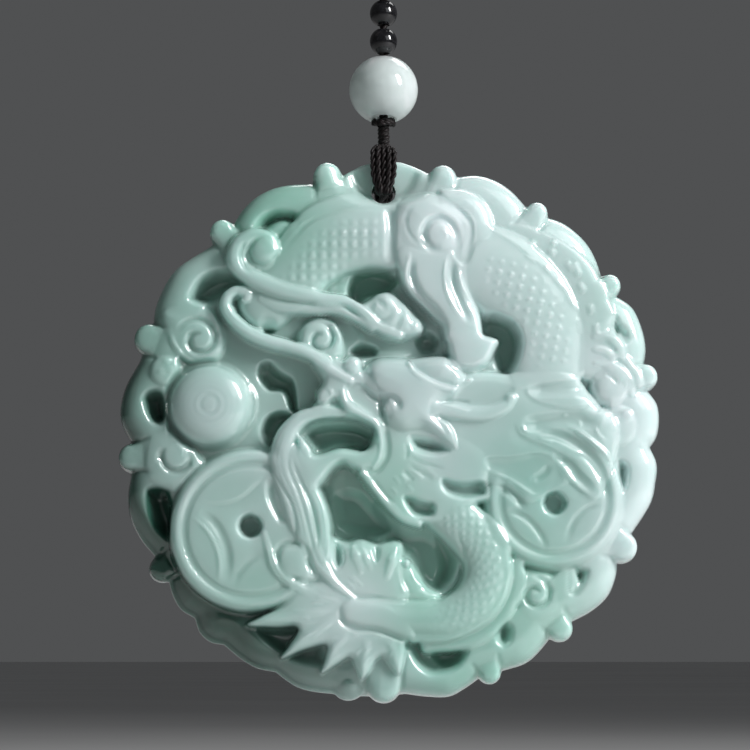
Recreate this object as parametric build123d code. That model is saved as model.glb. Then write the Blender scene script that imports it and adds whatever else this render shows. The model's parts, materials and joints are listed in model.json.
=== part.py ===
from build123d import *
import os
import math
import numpy as np

# Jade dragon pendant on a whole necklace loop of small beads, in millimetres.
# +Z is up, the carved face looks along -Y, and the origin is the top of the
# loop, where it lies over whatever holds it.

# Jade disc
jade_diameter = 58.0
jade_thickness = 9.0
jade_back_chamfer = 0.9
cord_hole_diameter = 2.6

# Bead over the jade disc and the small beads above it
jade_bead_diameter = 7.5
jade_bead_bore = 2.0
jade_bead_mouth = 2.8
small_bead_diameter = 3.0
small_bead_gap = 0.1
drop_bead_count = 4
drop_bead_bore = 1.4
string_bead_bore = 0.9
thread_diameter = 0.5

# Necklace loop: length along the thread, and the radii at its top and bottom
necklace_length = 620.0
neck_radius = 55.0
turn_radius = 5.0

# Cord that ties the disc to the string
cord_hole_run_diameter = 1.3
cord_leg_thickness = 1.3
cord_leg_width = 2.9
cord_tip_width = 1.2
cord_tip_drop = 0.8
cord_arch_width = 1.9
cord_stem_diameter = 1.5
cord_core_diameter = 1.0
cord_knot_diameter = 2.6
cord_knot_height = 0.9
cord_knot_round = 0.4
cord_eye_radius = 0.75
cord_eye_wire = 0.6
cord_gap = 0.35
cord_headroom = 1.1
cord_arch_round = 1.6
cord_stem_length = 1.2

# Mesh of the carving: squares along one side of the map
carving_rows = 68

# The carving below is drawn in hundredths: places and widths across the face
# are hundredths of the disc's radius from its middle, right and up, and levels
# are hundredths of its thickness over the back.
hole_place = (-2.0, 87.6)
seat_level = 50.0
recess_floor = 14.0
edge_level = 30.0
rim_level = 56.0
rim_rounding = 9.0
bump_rise = 20.0
ground_level = 44.0
ground_radius = 82.0
plain_radius = 97.0

radius = jade_diameter / 2

# Lobes of the scalloped rim, clockwise from the top
LOBES = [
    [(-17.5, 95), (-8, 99.5), (2.5, 100.2), (8, 98.8), (14.5, 96)],
    [(26, 94.5), (33, 95), (40, 93), (46, 89), (51, 83.5)],
    [(58.5, 79.5), (66, 76.5), (73, 70.5), (77, 64), (79.5, 56.5)],
    [(85, 49.5), (91, 45), (94.5, 37), (95.7, 30), (95, 24)],
    [(96.5, 14), (99.8, 9), (100.5, 3), (99.5, -3), (97, -7)],
    [(97, -7), (99.5, -13), (99, -20), (97, -28), (90.3, -38.5)],
    [(84.7, -49.5), (84, -55), (81, -62), (75, -67.5), (67.5, -71.5)],
    [(60, -77), (55, -83), (50, -87), (42, -89.5)],
    [(33, -92.5), (28, -96), (22, -99), (14, -99), (6, -98)],
    [(-21, -98), (-29, -97), (-35, -95), (-42, -90)],
    [(-42, -90), (-49, -88.5), (-55, -85), (-61, -80)],
    [(-61, -80), (-66, -79), (-70, -75.5), (-72, -70)],
    [(-72, -70), (-77, -67), (-80, -62), (-81.5, -57)],
    [(-87, -47), (-92, -41), (-96, -33), (-97, -25), (-96, -18)],
    [(-96, -5), (-99.5, 2), (-100, 8), (-98, 16), (-93, 25)],
    [(-88, 39), (-87, 46), (-83, 55), (-78, 61), (-67, 68)],
    [(-58, 77), (-54, 83), (-48, 88), (-40, 91), (-29, 92)],
]

# Round bumps between the lobes: across, up, radius
BUMPS = [
    (-23, 94, 5.5), (20, 93, 5.5), (55, 80, 4.5), (82, 53, 4.5), (95, 19, 5.0),
    (86, -44, 6.0), (63, -74, 5.0), (37, -90, 4.5), (-2, -95, 6.5), (-15, -94, 6.5),
    (-84, -52, 5.0), (-95, -11, 5.5), (-89, 33, 6.0), (-62, 73, 5.0),
]


def curve(points, closed=False, steps=5):
    """A smooth line through a few chosen points."""
    p = np.array(points, float)
    if closed:
        frame = np.vstack([p[-1:], p, p[:2]])
    else:
        frame = np.vstack([2 * p[0] - p[1], p, 2 * p[-1] - p[-2]])
    t = (np.arange(steps) / steps)[:, None]
    spans = []
    for k in range(len(frame) - 3):
        a, b, c, d = frame[k:k + 4]
        square = (2 * a - 5 * b + 4 * c - d) * t ** 2
        cube = (3 * b - 3 * c + d - a) * t ** 3
        spans.append(0.5 * (2 * b + (c - a) * t + square + cube))
    if not closed:
        spans.append(p[-1:])
    return np.vstack(spans)


def spread(values, count):
    """One value, or a few, spread evenly over a number of points."""
    values = np.atleast_1d(np.array(values, float))
    return np.interp(np.linspace(0, 1, count), np.linspace(0, 1, len(values)), values)


def rim_line():
    return np.vstack([curve(lobe, steps=4) for lobe in LOBES])


def rim_reach(angle):
    """Distance from the middle to the rim, bumps included, at each angle."""
    line = rim_line()
    around = np.arctan2(line[:, 1], line[:, 0])
    order = np.argsort(around)
    around = around[order]
    reach = np.hypot(line[:, 0], line[:, 1])[order]
    whole = 2 * np.pi
    result = np.interp(angle, np.r_[around - whole, around, around + whole], np.r_[reach, reach, reach])
    for x, y, size in BUMPS:
        far = np.hypot(x, y)
        turn = angle - np.arctan2(y, x)
        aside = far * np.sin(turn)
        ahead = far * np.cos(turn)
        hit = (np.abs(aside) < size) & (ahead > 0)
        crown = ahead + np.sqrt(np.maximum(size ** 2 - aside ** 2, 0))
        result = np.where(hit, np.maximum(result, crown), result)
    return result


class Relief:
    """Levels over the back, raised and sunk one carved form after another."""

    def __init__(self, across, up):
        self.x = np.asarray(across, float)
        self.y = np.asarray(up, float)
        self.level = np.zeros(self.x.shape)

    def near(self, line, reach):
        low = line.min(0) - reach
        high = line.max(0) + reach
        inside_x = (self.x > low[0]) & (self.x < high[0])
        inside_y = (self.y > low[1]) & (self.y < high[1])
        return np.nonzero(inside_x & inside_y)[0]

    def measure(self, line, pick, closed, *columns):
        """Distance to a line, what lies inside it, and the columns at the nearest place."""
        x = self.x[pick]
        y = self.y[pick]
        best = np.full(x.shape, np.inf)
        values = [np.zeros(x.shape) for _ in columns]
        inside = np.zeros(x.shape, bool)
        for i in range(len(line) if closed else len(line) - 1):
            j = (i + 1) % len(line)
            ax, ay = line[i]
            dx, dy = line[j] - line[i]
            share = ((x - ax) * dx + (y - ay) * dy) / max(dx * dx + dy * dy, 1e-12)
            share = np.clip(share, 0, 1)
            distance = np.hypot(x - ax - share * dx, y - ay - share * dy)
            closer = distance < best
            best = np.where(closer, distance, best)
            for k, column in enumerate(columns):
                here = column[i] + share * (column[j] - column[i])
                values[k] = np.where(closer, here, values[k])
            if closed and dy != 0:
                crosses = (ay > y) != (line[j][1] > y)
                inside ^= crosses & (x < ax + (y - ay) / dy * dx)
        return best, inside, values

    def strand(self, path, half_width, crest, squareness=2.0):
        """A rounded strand along a path, with one or a few half widths and crest levels."""
        line = curve(path)
        width = spread(half_width, len(line))
        top = spread(crest, len(line))
        pick = self.near(line, width.max())
        distance, _, (width, top) = self.measure(line, pick, False, width, top)
        share = np.clip(distance / width, 0, 1)
        profile = (1 - share ** squareness) ** (1 / squareness)
        self.level[pick] += np.maximum(0, top - self.level[pick]) * profile

    def patch(self, outline, level, edge, crown=0.0, sharp=False):
        """A closed outline raised or sunk to a level, with a rounded edge and a crown."""
        line = np.array(outline, float) if sharp else curve(outline, closed=True)
        pick = self.near(line, 0)
        distance, inside, _ = self.measure(line, pick, True)
        pick = pick[inside]
        distance = distance[inside]
        profile = np.sqrt(1 - (1 - np.clip(distance / edge, 0, 1)) ** 2)
        swell = 1 - (1 - np.clip(distance / (2.5 * edge), 0, 1)) ** 2
        self.level[pick] += (level + crown * swell - self.level[pick]) * profile

    def recess(self, outline, floor, wall=2.5):
        """A blind recess with a smooth, steep wall."""
        line = curve(outline, closed=True)
        pick = self.near(line, 0)
        distance, inside, _ = self.measure(line, pick, True)
        pick = pick[inside]
        share = np.clip(distance[inside] / wall, 0, 1)
        profile = share * share * (3 - 2 * share)
        self.level[pick] += np.minimum(0, floor - self.level[pick]) * profile

    def groove(self, path, half_width, depth):
        """A cut line, or a fine ridge where the depth is below zero."""
        line = curve(path)
        ends = np.clip(5 * np.minimum(np.linspace(0, 1, len(line)), np.linspace(1, 0, len(line))), 0, 1)
        pick = self.near(line, half_width)
        distance, _, (cut,) = self.measure(line, pick, False, depth * ends)
        share = np.clip(distance / half_width, 0, 1)
        self.level[pick] -= cut * (1 - share * share) ** 2

    def disc(self, centre, rings):
        """A round form: rings of radius and level, from its middle out."""
        rows = np.array(rings, float)
        distance = np.hypot(self.x - centre[0], self.y - centre[1])
        pick = distance < rows[-1, 0]
        self.level[pick] = np.interp(distance[pick], rows[:, 0], rows[:, 1])


def carve_rim(k):
    """Rounded outer edge, polished lobes and bumps, and the sunk ground inside them."""
    distance, inside, _ = k.measure(rim_line(), np.arange(k.x.size), True)
    depth = np.where(inside, distance, 0)
    share = np.clip(depth / rim_rounding, 0, 1)
    k.level = edge_level + (rim_level - edge_level) * np.sqrt(1 - (1 - share) ** 2)
    for x, y, size in BUMPS:
        away = np.hypot(k.x - x, k.y - y)
        dome = edge_level + bump_rise * np.sqrt(np.clip(1 - (away / size) ** 2, 0, 1))
        k.level = np.where(away < size, np.maximum(k.level, dome), k.level)
    turns = np.radians(np.arange(0, 360, 15))
    k.patch(ground_radius * np.stack([np.cos(turns), np.sin(turns)], 1), level=ground_level, edge=5)


def carve_recesses(k):
    """Blind recesses in the ground, round the rim first and then the inner ones."""
    shallow = recess_floor + 8
    for outline in (
        [(-91, 7), (-90, 12), (-86, 14), (-81, 12), (-80, 5), (-84, 0), (-89, 1)],
        [(-73, 47), (-70, 54), (-65, 56.5), (-59, 55), (-60, 49), (-66, 46)],
        [(-51, 73), (-48, 79), (-42, 81), (-34, 79), (-38, 75), (-44, 75)],
        [(-90, -21), (-90, -29), (-83, -39), (-77, -42), (-80, -35), (-84, -27), (-84, -20)],
        [(66, -52), (73, -53), (72, -58), (67, -62), (64, -57)],
        [(8, -82), (11, -87), (20, -89.5), (26, -85), (27, -82), (18, -82.5)],
        [(-50, -74), (-33, -72), (-30, -78), (-24, -80), (-24, -88), (-38, -86)],
        [(-20, -86), (-14, -84), (-4, -85), (2, -84), (5, -87), (0, -91), (-12, -92), (-20, -92)],
    ):
        k.recess(outline, floor=shallow)
    k.recess([(-16, 50), (-13.5, 58), (-6, 60.5), (1, 58), (8, 52), (14, 46), (21, 38), (20, 28),
              (14, 25.5), (-4, 25.5), (-13, 25), (-15.5, 28), (-12, 33), (-16, 40)], floor=27)
    for outline in (
        [(-16, 48), (-14.5, 56), (-8, 60), (-1, 58.5), (4, 54), (0, 50), (-8, 48), (-12, 44)],
        [(9, 31), (11, 35.5), (16, 36), (19, 32), (17, 27.5), (12, 27)],
        [(-15, 29), (-10, 32), (-4, 30), (-5, 26), (-12, 25.5)],
        [(-50, 39), (-46, 43), (-41, 39), (-44, 34), (-49, 35)],
        [(-49, 22), (-46, 25.5), (-42, 21), (-36, 17), (-35, 11), (-33, 4), (-38, 5), (-41, 11), (-48, 14)],
        [(-48, -2), (-45, 4), (-39, 7), (-32, 5), (-38, 0), (-41, -6), (-45, -8)],
        [(-30, -2), (-26, 1.5), (-15, 2), (-8, -1), (-6, -6), (-12, -9), (-20, -8), (-28, -10)],
        [(-21, -16), (-15, -14), (-11, -18), (-5, -27), (3, -36), (2, -42), (-10, -43), (-18, -38),
         (-21, -28), (-24, -21)],
        [(4, -27), (8, -25), (14, -27), (18, -31), (16, -35), (10, -34)],
        [(19, -19), (27, -19.5), (34, -21), (37, -27), (30, -27.5), (23, -25), (19, -22)],
        [(14, -37), (20, -39), (26, -48), (24, -58), (18, -63), (9, -58), (8, -50), (12, -44)],
        [(34, 38), (38, 40.5), (44, 38.5), (47.5, 32), (46.5, 26), (43, 21), (40, 22), (41, 30), (39, 33)],
    ):
        k.recess(outline, floor=recess_floor)


def carve_clouds(k):
    """Curled clouds and knobs between the rim and the dragon."""
    k.patch([(-82, 34), (-78, 43), (-70, 45), (-63, 40), (-62, 31), (-66, 25), (-75, 25)], level=58, edge=4)
    k.strand([(-83, 45), (-82, 37), (-79, 30), (-75, 26), (-70, 24)], half_width=(2.2, 3, 2.2), crest=60)
    k.patch([(-34, 33), (-32, 38), (-26, 40), (-20, 38), (-17, 30), (-20, 25), (-28, 25), (-33, 28)],
            level=62, edge=3.5)
    k.strand([(-90, -3), (-91, -12), (-87, -20), (-80, -23)], half_width=2.5, crest=56)
    k.strand([(74, 45), (80, 45), (84, 41), (86, 35), (85, 28)], half_width=2.4, crest=62)
    k.strand([(76, 34), (80, 33), (83.5, 30)], half_width=2.2, crest=66)
    k.strand([(75, 27), (80, 27), (84, 24)], half_width=2.2, crest=66)
    k.strand([(80, 22), (86, 20), (88.5, 14), (88, 7)], half_width=2.4, crest=62)
    k.patch([(45, -54), (48, -52), (58, -53), (61, -58), (62, -66), (56, -71), (49, -69), (46, -62)],
            level=60, edge=3.5)
    k.strand([(61, -50), (66, -53), (67, -58), (63, -62)], half_width=2.4, crest=58)
    k.strand([(63, -64), (70, -62), (76, -56), (78, -49)], half_width=2.6, crest=54)
    for centre, rings in (
        ((-78, -10.5), [(0, 62), (3.5, 58), (4.5, 46), (6, 44), (8, 54), (10, 58), (13, 44)]),
        ((-82, 21), [(0, 64), (3, 60), (5, 44)]),
        ((81.5, 15), [(0, 66), (3.5, 62), (5.5, 50)]),
        ((83, 1), [(0, 62), (3.5, 60), (6.5, 50)]),
    ):
        k.disc(centre, rings)


def carve_body(k):
    """The body's upper coil with its fin, and the lower coil that ends in the tail."""
    k.strand([(-45, 47), (-38, 54), (-29, 64), (-18, 69.5), (-5, 71), (10, 70), (26, 64), (41, 57),
              (51, 46), (56, 34), (57, 22)],
             half_width=(11, 12, 13, 13, 13, 13, 14, 15, 14, 13, 12),
             crest=(70, 76, 80, 80, 80, 78, 70), squareness=2.6)
    k.strand([(-42, 60), (-36, 70), (-28, 79), (-18, 82), (-10, 83)], half_width=(1.8, 2.6), crest=(58, 64))
    k.strand([(40, 70), (50, 66.5), (60, 61), (67, 54), (71, 46), (73, 35), (72, 26)],
             half_width=(2, 3.2, 3), crest=66)
    k.strand([(47, -50), (47, -58), (43, -67), (36, -75), (27, -79.5), (14, -80.5)], half_width=2.6, crest=64)
    k.strand([(19, -29), (28, -37), (35, -46), (36, -56), (31, -65), (21, -71), (9, -72), (-3, -70), (-14, -67)],
             half_width=(9, 9.5, 9, 9, 8.5, 7.5, 6.5, 5, 3.5), crest=(76, 82, 82, 80, 74), squareness=2.6)
    k.strand([(41, -45), (42, -54), (39, -64), (31, -72), (21, -76.5), (10, -77)], half_width=2, crest=76)


def carve_coins(k):
    """Two holed coins and the round flaming pearl."""
    k.disc((-51, -38), [(0, 74), (21, 76), (22.6, 70), (24.6, 69), (26, 78), (27.5, 79), (30.4, 46)])
    k.disc((60.5, -27), [(0, 70), (17, 72), (18.8, 66), (20.6, 65), (22, 73), (23.4, 72), (25.6, 48)])
    k.recess([(-46, -37), (-51, -32), (-56, -37), (-51, -42)], floor=56, wall=2)
    k.recess([(66, -28), (61, -23), (56, -28), (61, -33)], floor=52, wall=2)
    for path in (
        [(-73, -31), (-66, -27.5), (-58, -28.5), (-50, -24), (-45, -16)],
        [(-72, -33), (-66, -38), (-62, -45), (-60.5, -52), (-61.5, -59)],
        [(41, -31), (50, -34.5), (56, -40), (60, -46)],
        [(64, -45), (66, -37), (71, -31), (78, -29)],
    ):
        k.groove(path, half_width=2.2, depth=10)
    k.disc((-65.5, 8.5), [(0, 96), (3, 94), (4.5, 91), (6.4, 94), (9, 92), (12, 86), (13.8, 76), (15.6, 67), (17.2, 46)])


def carve_ribbons(k):
    """The column of ribbons with its curl, and the snail-shaped cloud beside it."""
    k.patch([(3, 64), (4, 52), (9, 49), (16, 43), (21, 36), (22, 30), (34, 31), (33.5, 41), (30, 48),
             (27, 55), (26, 64), (20, 68), (8, 68)], level=84, edge=3.5)
    k.groove([(8, 61), (8.5, 54), (12, 48), (18, 41), (22, 33)], half_width=2.4, depth=14)
    k.groove([(22.5, 61), (23, 53), (27, 44), (30, 34)], half_width=2.2, depth=14)
    k.patch([(20, 34), (30, 36), (34, 33), (41, 32), (40, 27), (37, 22), (30, 19.5), (22, 22)], level=82, edge=3)
    k.patch([(2.5, 76), (5, 84), (12, 88), (21, 87.5), (24, 79), (24.5, 70), (20, 64), (12, 63), (5, 67)],
            level=86, edge=5, crown=6)
    k.groove([(7, 73), (12, 67), (19, 68), (22, 74), (19, 80), (13, 80), (11, 75)], half_width=2.2, depth=13)
    k.strand([(17, 87), (24, 87.5), (31, 84.5), (36, 78), (37, 72)], half_width=(2, 2.8, 2.4), crest=76)
    k.strand([(25, 81), (29, 78), (30.5, 72), (30, 66)], half_width=2.4, crest=78)
    k.patch([(-10, 43.5), (-7, 47.5), (-3, 50.5), (1, 51), (5, 47), (9, 42.5), (12.5, 38.5), (12, 35), (8, 33),
             (2, 32), (-3, 33.5), (-8, 37)], level=76, edge=4)


def carve_tail(k):
    """Pointed fin of the tail, its upper points and the small claw in the recess."""
    k.patch([(-28, -56), (-20, -56), (-13, -62), (0, -66), (10, -78), (6, -81), (4, -90), (-3, -84),
             (-9.5, -92), (-14, -85), (-25, -90), (-24, -79), (-38, -84), (-34, -75), (-52, -71),
             (-40, -66), (-34, -60)], level=74, edge=2.5, sharp=True)
    k.patch([(-33, -48), (-27, -42), (-24, -50), (-20, -53), (-13, -42), (-11, -48), (-9, -43), (-6, -50),
             (3, -44), (3, -56), (-3, -64), (-14, -66), (-26, -62)], level=76, edge=2.5, sharp=True)
    k.strand([(3.5, -50), (4, -56), (6.5, -62), (12, -64)], half_width=2.2, crest=74)
    k.strand([(7, -50), (9.5, -54), (13, -58)], half_width=2.2, crest=66)


def carve_mane(k):
    """Locks of the mane that sweep back from the head and over the right coin."""
    k.patch([(20, 20), (34, 22), (50, 20), (64, 19), (72, 12), (76, 8), (84, 2), (84, -8), (78, -18),
             (60, -12), (48, -8), (36, -10), (36, -20), (30, -22), (20, -18), (14, -6), (14, 12)],
            level=70, edge=4)
    for path, half_width, crest in (
        ([(24, 21), (36, 21.5), (50, 20), (64, 19), (73, 16.5)], (3, 3.4, 2.6, 1.4), (84, 80, 66)),
        ([(28, 14), (40, 16.5), (54, 16.5), (66, 14), (74, 10.5)], (3, 3.4, 2.6, 1.4), (84, 80, 66)),
        ([(46, 8), (56, 9), (66, 8.5), (76, 9)], (3, 3, 2.6, 1.6), (78, 76, 66)),
        ([(30, -2), (42, -2), (52, 0), (62, 1), (70, -2), (80, -9), (85, -18), (86, -27)],
         (5, 4.6, 4, 3, 2.4, 1.8), (80, 80, 78, 60)),
        ([(42, -4), (54, -6), (64, -7), (72, -12), (77.5, -18), (80, -24)], (4, 3.4, 2.4, 1.6), (80, 80, 70)),
        ([(34, -12), (46, -12), (57, -13), (66, -20), (76, -27)], (4, 3.4, 2.2, 1.6), (76, 78, 72)),
        ([(30, -12), (38, -16.5), (46, -21), (52, -26)], (3, 2.6, 1.6), (78, 74)),
        ([(22, -14), (32, -19), (42, -23), (48, -29)], (3, 2.6, 1.6), (76, 72)),
    ):
        k.strand(path, half_width, crest)


def carve_head(k):
    """Skull, cheek and beard, brow, horn, snout, and the jaw that runs down as hair."""
    k.patch([(-14, 25), (-4, 27), (8, 26), (20, 24), (25, 20), (24, 10), (24, -2), (24, -8), (16, -6),
             (8, -3), (0, 0), (-6, 6), (-14, 12)], level=88, edge=5, crown=8)
    k.patch([(-3, -4), (6, -2), (16, -3), (24, -8), (20, -16), (16, -24), (8, -22), (0, -22), (-6, -17)],
            level=78, edge=3.5)
    k.strand([(-13, -15), (-5, -22), (1, -29), (7, -35), (18, -37)], half_width=(3.2, 2.8, 2.2), crest=76)
    k.strand([(14, 6), (20, 4), (28, 4), (36, 5), (44, 9)], half_width=(2.4, 3, 3, 2), crest=(90, 84))
    k.strand([(8.5, 22), (12, 18), (18, 15.5), (27, 13.5)], half_width=(1.6, 2.2, 1.8), crest=97)
    k.strand([(21, 33), (20.5, 26), (23, 22)], half_width=2, crest=88)
    k.patch([(-30, 28), (-22, 23), (-14, 26), (-6, 26), (-4, 14), (-8, 4), (-15, 4), (-20, 10), (-27, 9),
             (-27, 14), (-22, 17)], level=84, edge=3, crown=4)
    k.groove([(-15, 8), (-12, 13), (-5, 14), (-2, 11), (2, 9), (3, 5)], half_width=2, depth=11)
    k.strand([(-17.5, 12), (-14, 7), (-8, 3), (-4, -1), (-3.5, -8), (-6, -14)], half_width=2, crest=(88, 86, 78))
    k.patch([(-30, -6), (-20, -7), (-10, -9), (-5, -13), (-12, -16), (-22, -14), (-30, -18), (-35, -12)],
            level=74, edge=3.5)
    k.strand([(-16, 7), (-28, 5.5), (-36, 1), (-40.5, -8), (-38, -18), (-33, -28), (-30, -38), (-28, -48),
              (-24, -57)], half_width=(2.6, 3.6, 4.4, 4.4, 5), crest=(80, 82, 82, 76), squareness=2.4)
    k.strand([(-34, -14), (-28, -22), (-24, -32), (-23, -42), (-20, -52)], half_width=3, crest=76)


def carve_whiskers(k):
    """Two long whiskers with curled ends."""
    k.strand([(6, 33), (-4, 38), (-11, 43), (-20, 45.5), (-30, 47), (-40, 50.5), (-49, 54.5), (-55, 58.5),
              (-56.5, 63), (-54, 68), (-49, 71), (-44.5, 69), (-43.5, 65), (-46, 62.5)],
             half_width=(1.8, 2.6, 3.2, 3, 3, 2.2), crest=(78, 86, 88, 86, 80))
    k.strand([(-24, 24), (-28, 26.5), (-37, 30), (-45, 31.5), (-52, 34.5), (-57, 39), (-60, 44),
              (-60, 47.5), (-57, 50), (-53.5, 49.5), (-53, 47)], half_width=(2, 2.4, 2.2, 1.8), crest=(82, 76))


def carve_cord_seat(k):
    """A low fan round the cord hole, where the disc swings under the cord's legs."""
    k.recess([(-8, 80), (4, 80), (8, 87), (13, 97), (11, 104), (-15, 104), (-17, 97), (-12, 87)],
             floor=seat_level, wall=1.5)


def carved_level(across, up):
    """Level of the carved face at places across and up the disc."""
    k = Relief(across, up)
    carve_rim(k)
    carve_recesses(k)
    carve_clouds(k)
    carve_body(k)
    carve_coins(k)
    carve_ribbons(k)
    carve_tail(k)
    carve_mane(k)
    carve_head(k)
    carve_whiskers(k)
    carve_cord_seat(k)
    return k.level


def disc_map(rows):
    """A square net of places laid smoothly over the disc, out to its scalloped rim."""
    a, b = np.meshgrid(np.linspace(-1, 1, rows + 1), np.linspace(-1, 1, rows + 1), indexing="ij")
    wide = np.abs(a) > np.abs(b)
    safe_a = np.where(a == 0, 1, a)
    safe_b = np.where(b == 0, 1, b)
    reach = np.where(wide, a, b)
    angle = np.where(wide, np.pi / 4 * b / safe_a, np.pi / 2 - np.pi / 4 * a / safe_b)
    angle = np.where(reach < 0, angle + np.pi, angle)
    share = np.abs(reach)
    rim = rim_reach(np.arctan2(np.sin(angle), np.cos(angle)))
    far = share * (plain_radius + (rim - plain_radius) * share ** 6)
    return far * np.cos(angle), far * np.sin(angle)


# Heights down the necklace, from its top at the origin
thread_top = small_bead_diameter / 2
circle_centre = thread_top - neck_radius


def loop_length(drop):
    """Length of a loop round the neck circle and the small turn a drop below it."""
    lean = math.asin((neck_radius - turn_radius) / drop)
    round_top = neck_radius * (math.pi + 2 * lean)
    round_turn = turn_radius * (math.pi - 2 * lean)
    return round_top + round_turn + 2 * drop * math.cos(lean)


def find_drop():
    """Drop between the two circles that gives the loop its length."""
    low = neck_radius + turn_radius
    high = necklace_length
    for _ in range(60):
        middle = (low + high) / 2
        if loop_length(middle) < necklace_length:
            low = middle
        else:
            high = middle
    return (low + high) / 2


circle_drop = find_drop()
lean = math.asin((neck_radius - turn_radius) / circle_drop)
turn_centre = circle_centre - circle_drop
eye_centre = turn_centre - turn_radius
eye_outer = cord_eye_radius + cord_eye_wire / 2
drop_pitch = small_bead_diameter + small_bead_gap
drop_bead_top = eye_centre - eye_outer - small_bead_gap - small_bead_diameter / 2
jade_bead_centre = (drop_bead_top - (drop_bead_count - 1) * drop_pitch
                    - small_bead_diameter / 2 - small_bead_gap - jade_bead_diameter / 2)
knot_top = (jade_bead_centre - math.sqrt((jade_bead_diameter / 2) ** 2 - (jade_bead_mouth / 2) ** 2)
            - small_bead_gap)
stem_top = knot_top - cord_knot_height
arch_top = stem_top - cord_stem_length
arch_inside = arch_top - cord_leg_thickness
rim_top = arch_inside - cord_headroom
hole_centre = rim_top - (100 - hole_place[1]) / 100 * radius
disc_centre_x = -hole_place[0] / 100 * radius
disc_centre_z = hole_centre - hole_place[1] / 100 * radius
seat_depth = seat_level / 100 * jade_thickness
back_y = seat_depth / 2
leg_inside = seat_depth / 2 + cord_gap
leg_outside = leg_inside + cord_leg_thickness


def triangle(a, b, c):
    return Face(Wire.make_polygon([a, b, c], close=True))


def make_jade():
    """The carved disc: a net of facets in front, an upright edge, a chamfer and a flat back."""
    across, up = disc_map(carving_rows)
    blur = 60 / carving_rows
    level = np.zeros(across.shape)
    offsets = [(0, 0), (blur, 0), (-blur, 0), (0, blur), (0, -blur)]
    for dx, dy in offsets:
        level += carved_level(across.ravel() + dx, up.ravel() + dy).reshape(across.shape) / len(offsets)
    edge = np.ones(level.shape, bool)
    edge[1:-1, 1:-1] = False
    level[edge] = edge_level
    x = disc_centre_x + across / 100 * radius
    y = back_y - level / 100 * jade_thickness
    z = disc_centre_z + up / 100 * radius
    net = np.stack([x, y, z], -1)
    faces = []
    last = carving_rows
    for i in range(last):
        for j in range(last):
            a, b, c, d = (tuple(net[p]) for p in ((i, j), (i + 1, j), (i + 1, j + 1), (i, j + 1)))
            if (i < last / 2) == (j < last / 2):
                faces += [triangle(a, b, c), triangle(a, c, d)]
            else:
                faces += [triangle(a, b, d), triangle(b, c, d)]
    walk = [(i, 0) for i in range(last)] + [(last, j) for j in range(last)]
    walk += [(i, last) for i in range(last, 0, -1)] + [(0, j) for j in range(last, 0, -1)]
    rim = [tuple(net[p]) for p in walk]
    shrink = 1 - jade_back_chamfer / radius
    shoulder = [(x, back_y - jade_back_chamfer, z) for x, _, z in rim]
    back = [(disc_centre_x + (x - disc_centre_x) * shrink, back_y,
             disc_centre_z + (z - disc_centre_z) * shrink) for x, _, z in rim]
    for k in range(len(rim)):
        n = (k + 1) % len(rim)
        faces.append(Face(Wire.make_polygon([rim[k], rim[n], shoulder[n], shoulder[k]], close=True)))
        faces.append(Face(Wire.make_polygon([shoulder[k], shoulder[n], back[n], back[k]], close=True)))
    faces.append(Face(Wire.make_polygon(back, close=True)))
    disc = Solid(Shell(faces))
    hole = Cylinder(cord_hole_diameter / 2, 4 * jade_thickness, rotation=(90, 0, 0))
    return disc - Pos(0, 0, hole_centre) * hole


def make_bead(diameter, bore):
    """A round bead drilled along Z."""
    return Sphere(diameter / 2) - Cylinder(bore / 2, 2 * diameter)


def make_jade_bead():
    """The larger bead, with a wider mouth at the bottom for the knot."""
    bead = make_bead(jade_bead_diameter, jade_bead_bore)
    depth = (jade_bead_mouth - jade_bead_bore) / 2
    mouth_z = -math.sqrt((jade_bead_diameter / 2) ** 2 - (jade_bead_mouth / 2) ** 2)
    mouth = Pos(0, 0, mouth_z + depth / 2) * Cone(jade_bead_mouth / 2, jade_bead_bore / 2, depth)
    below = Pos(0, 0, mouth_z - depth / 2) * Cylinder(jade_bead_mouth / 2, depth)
    return bead - mouth - below


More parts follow.
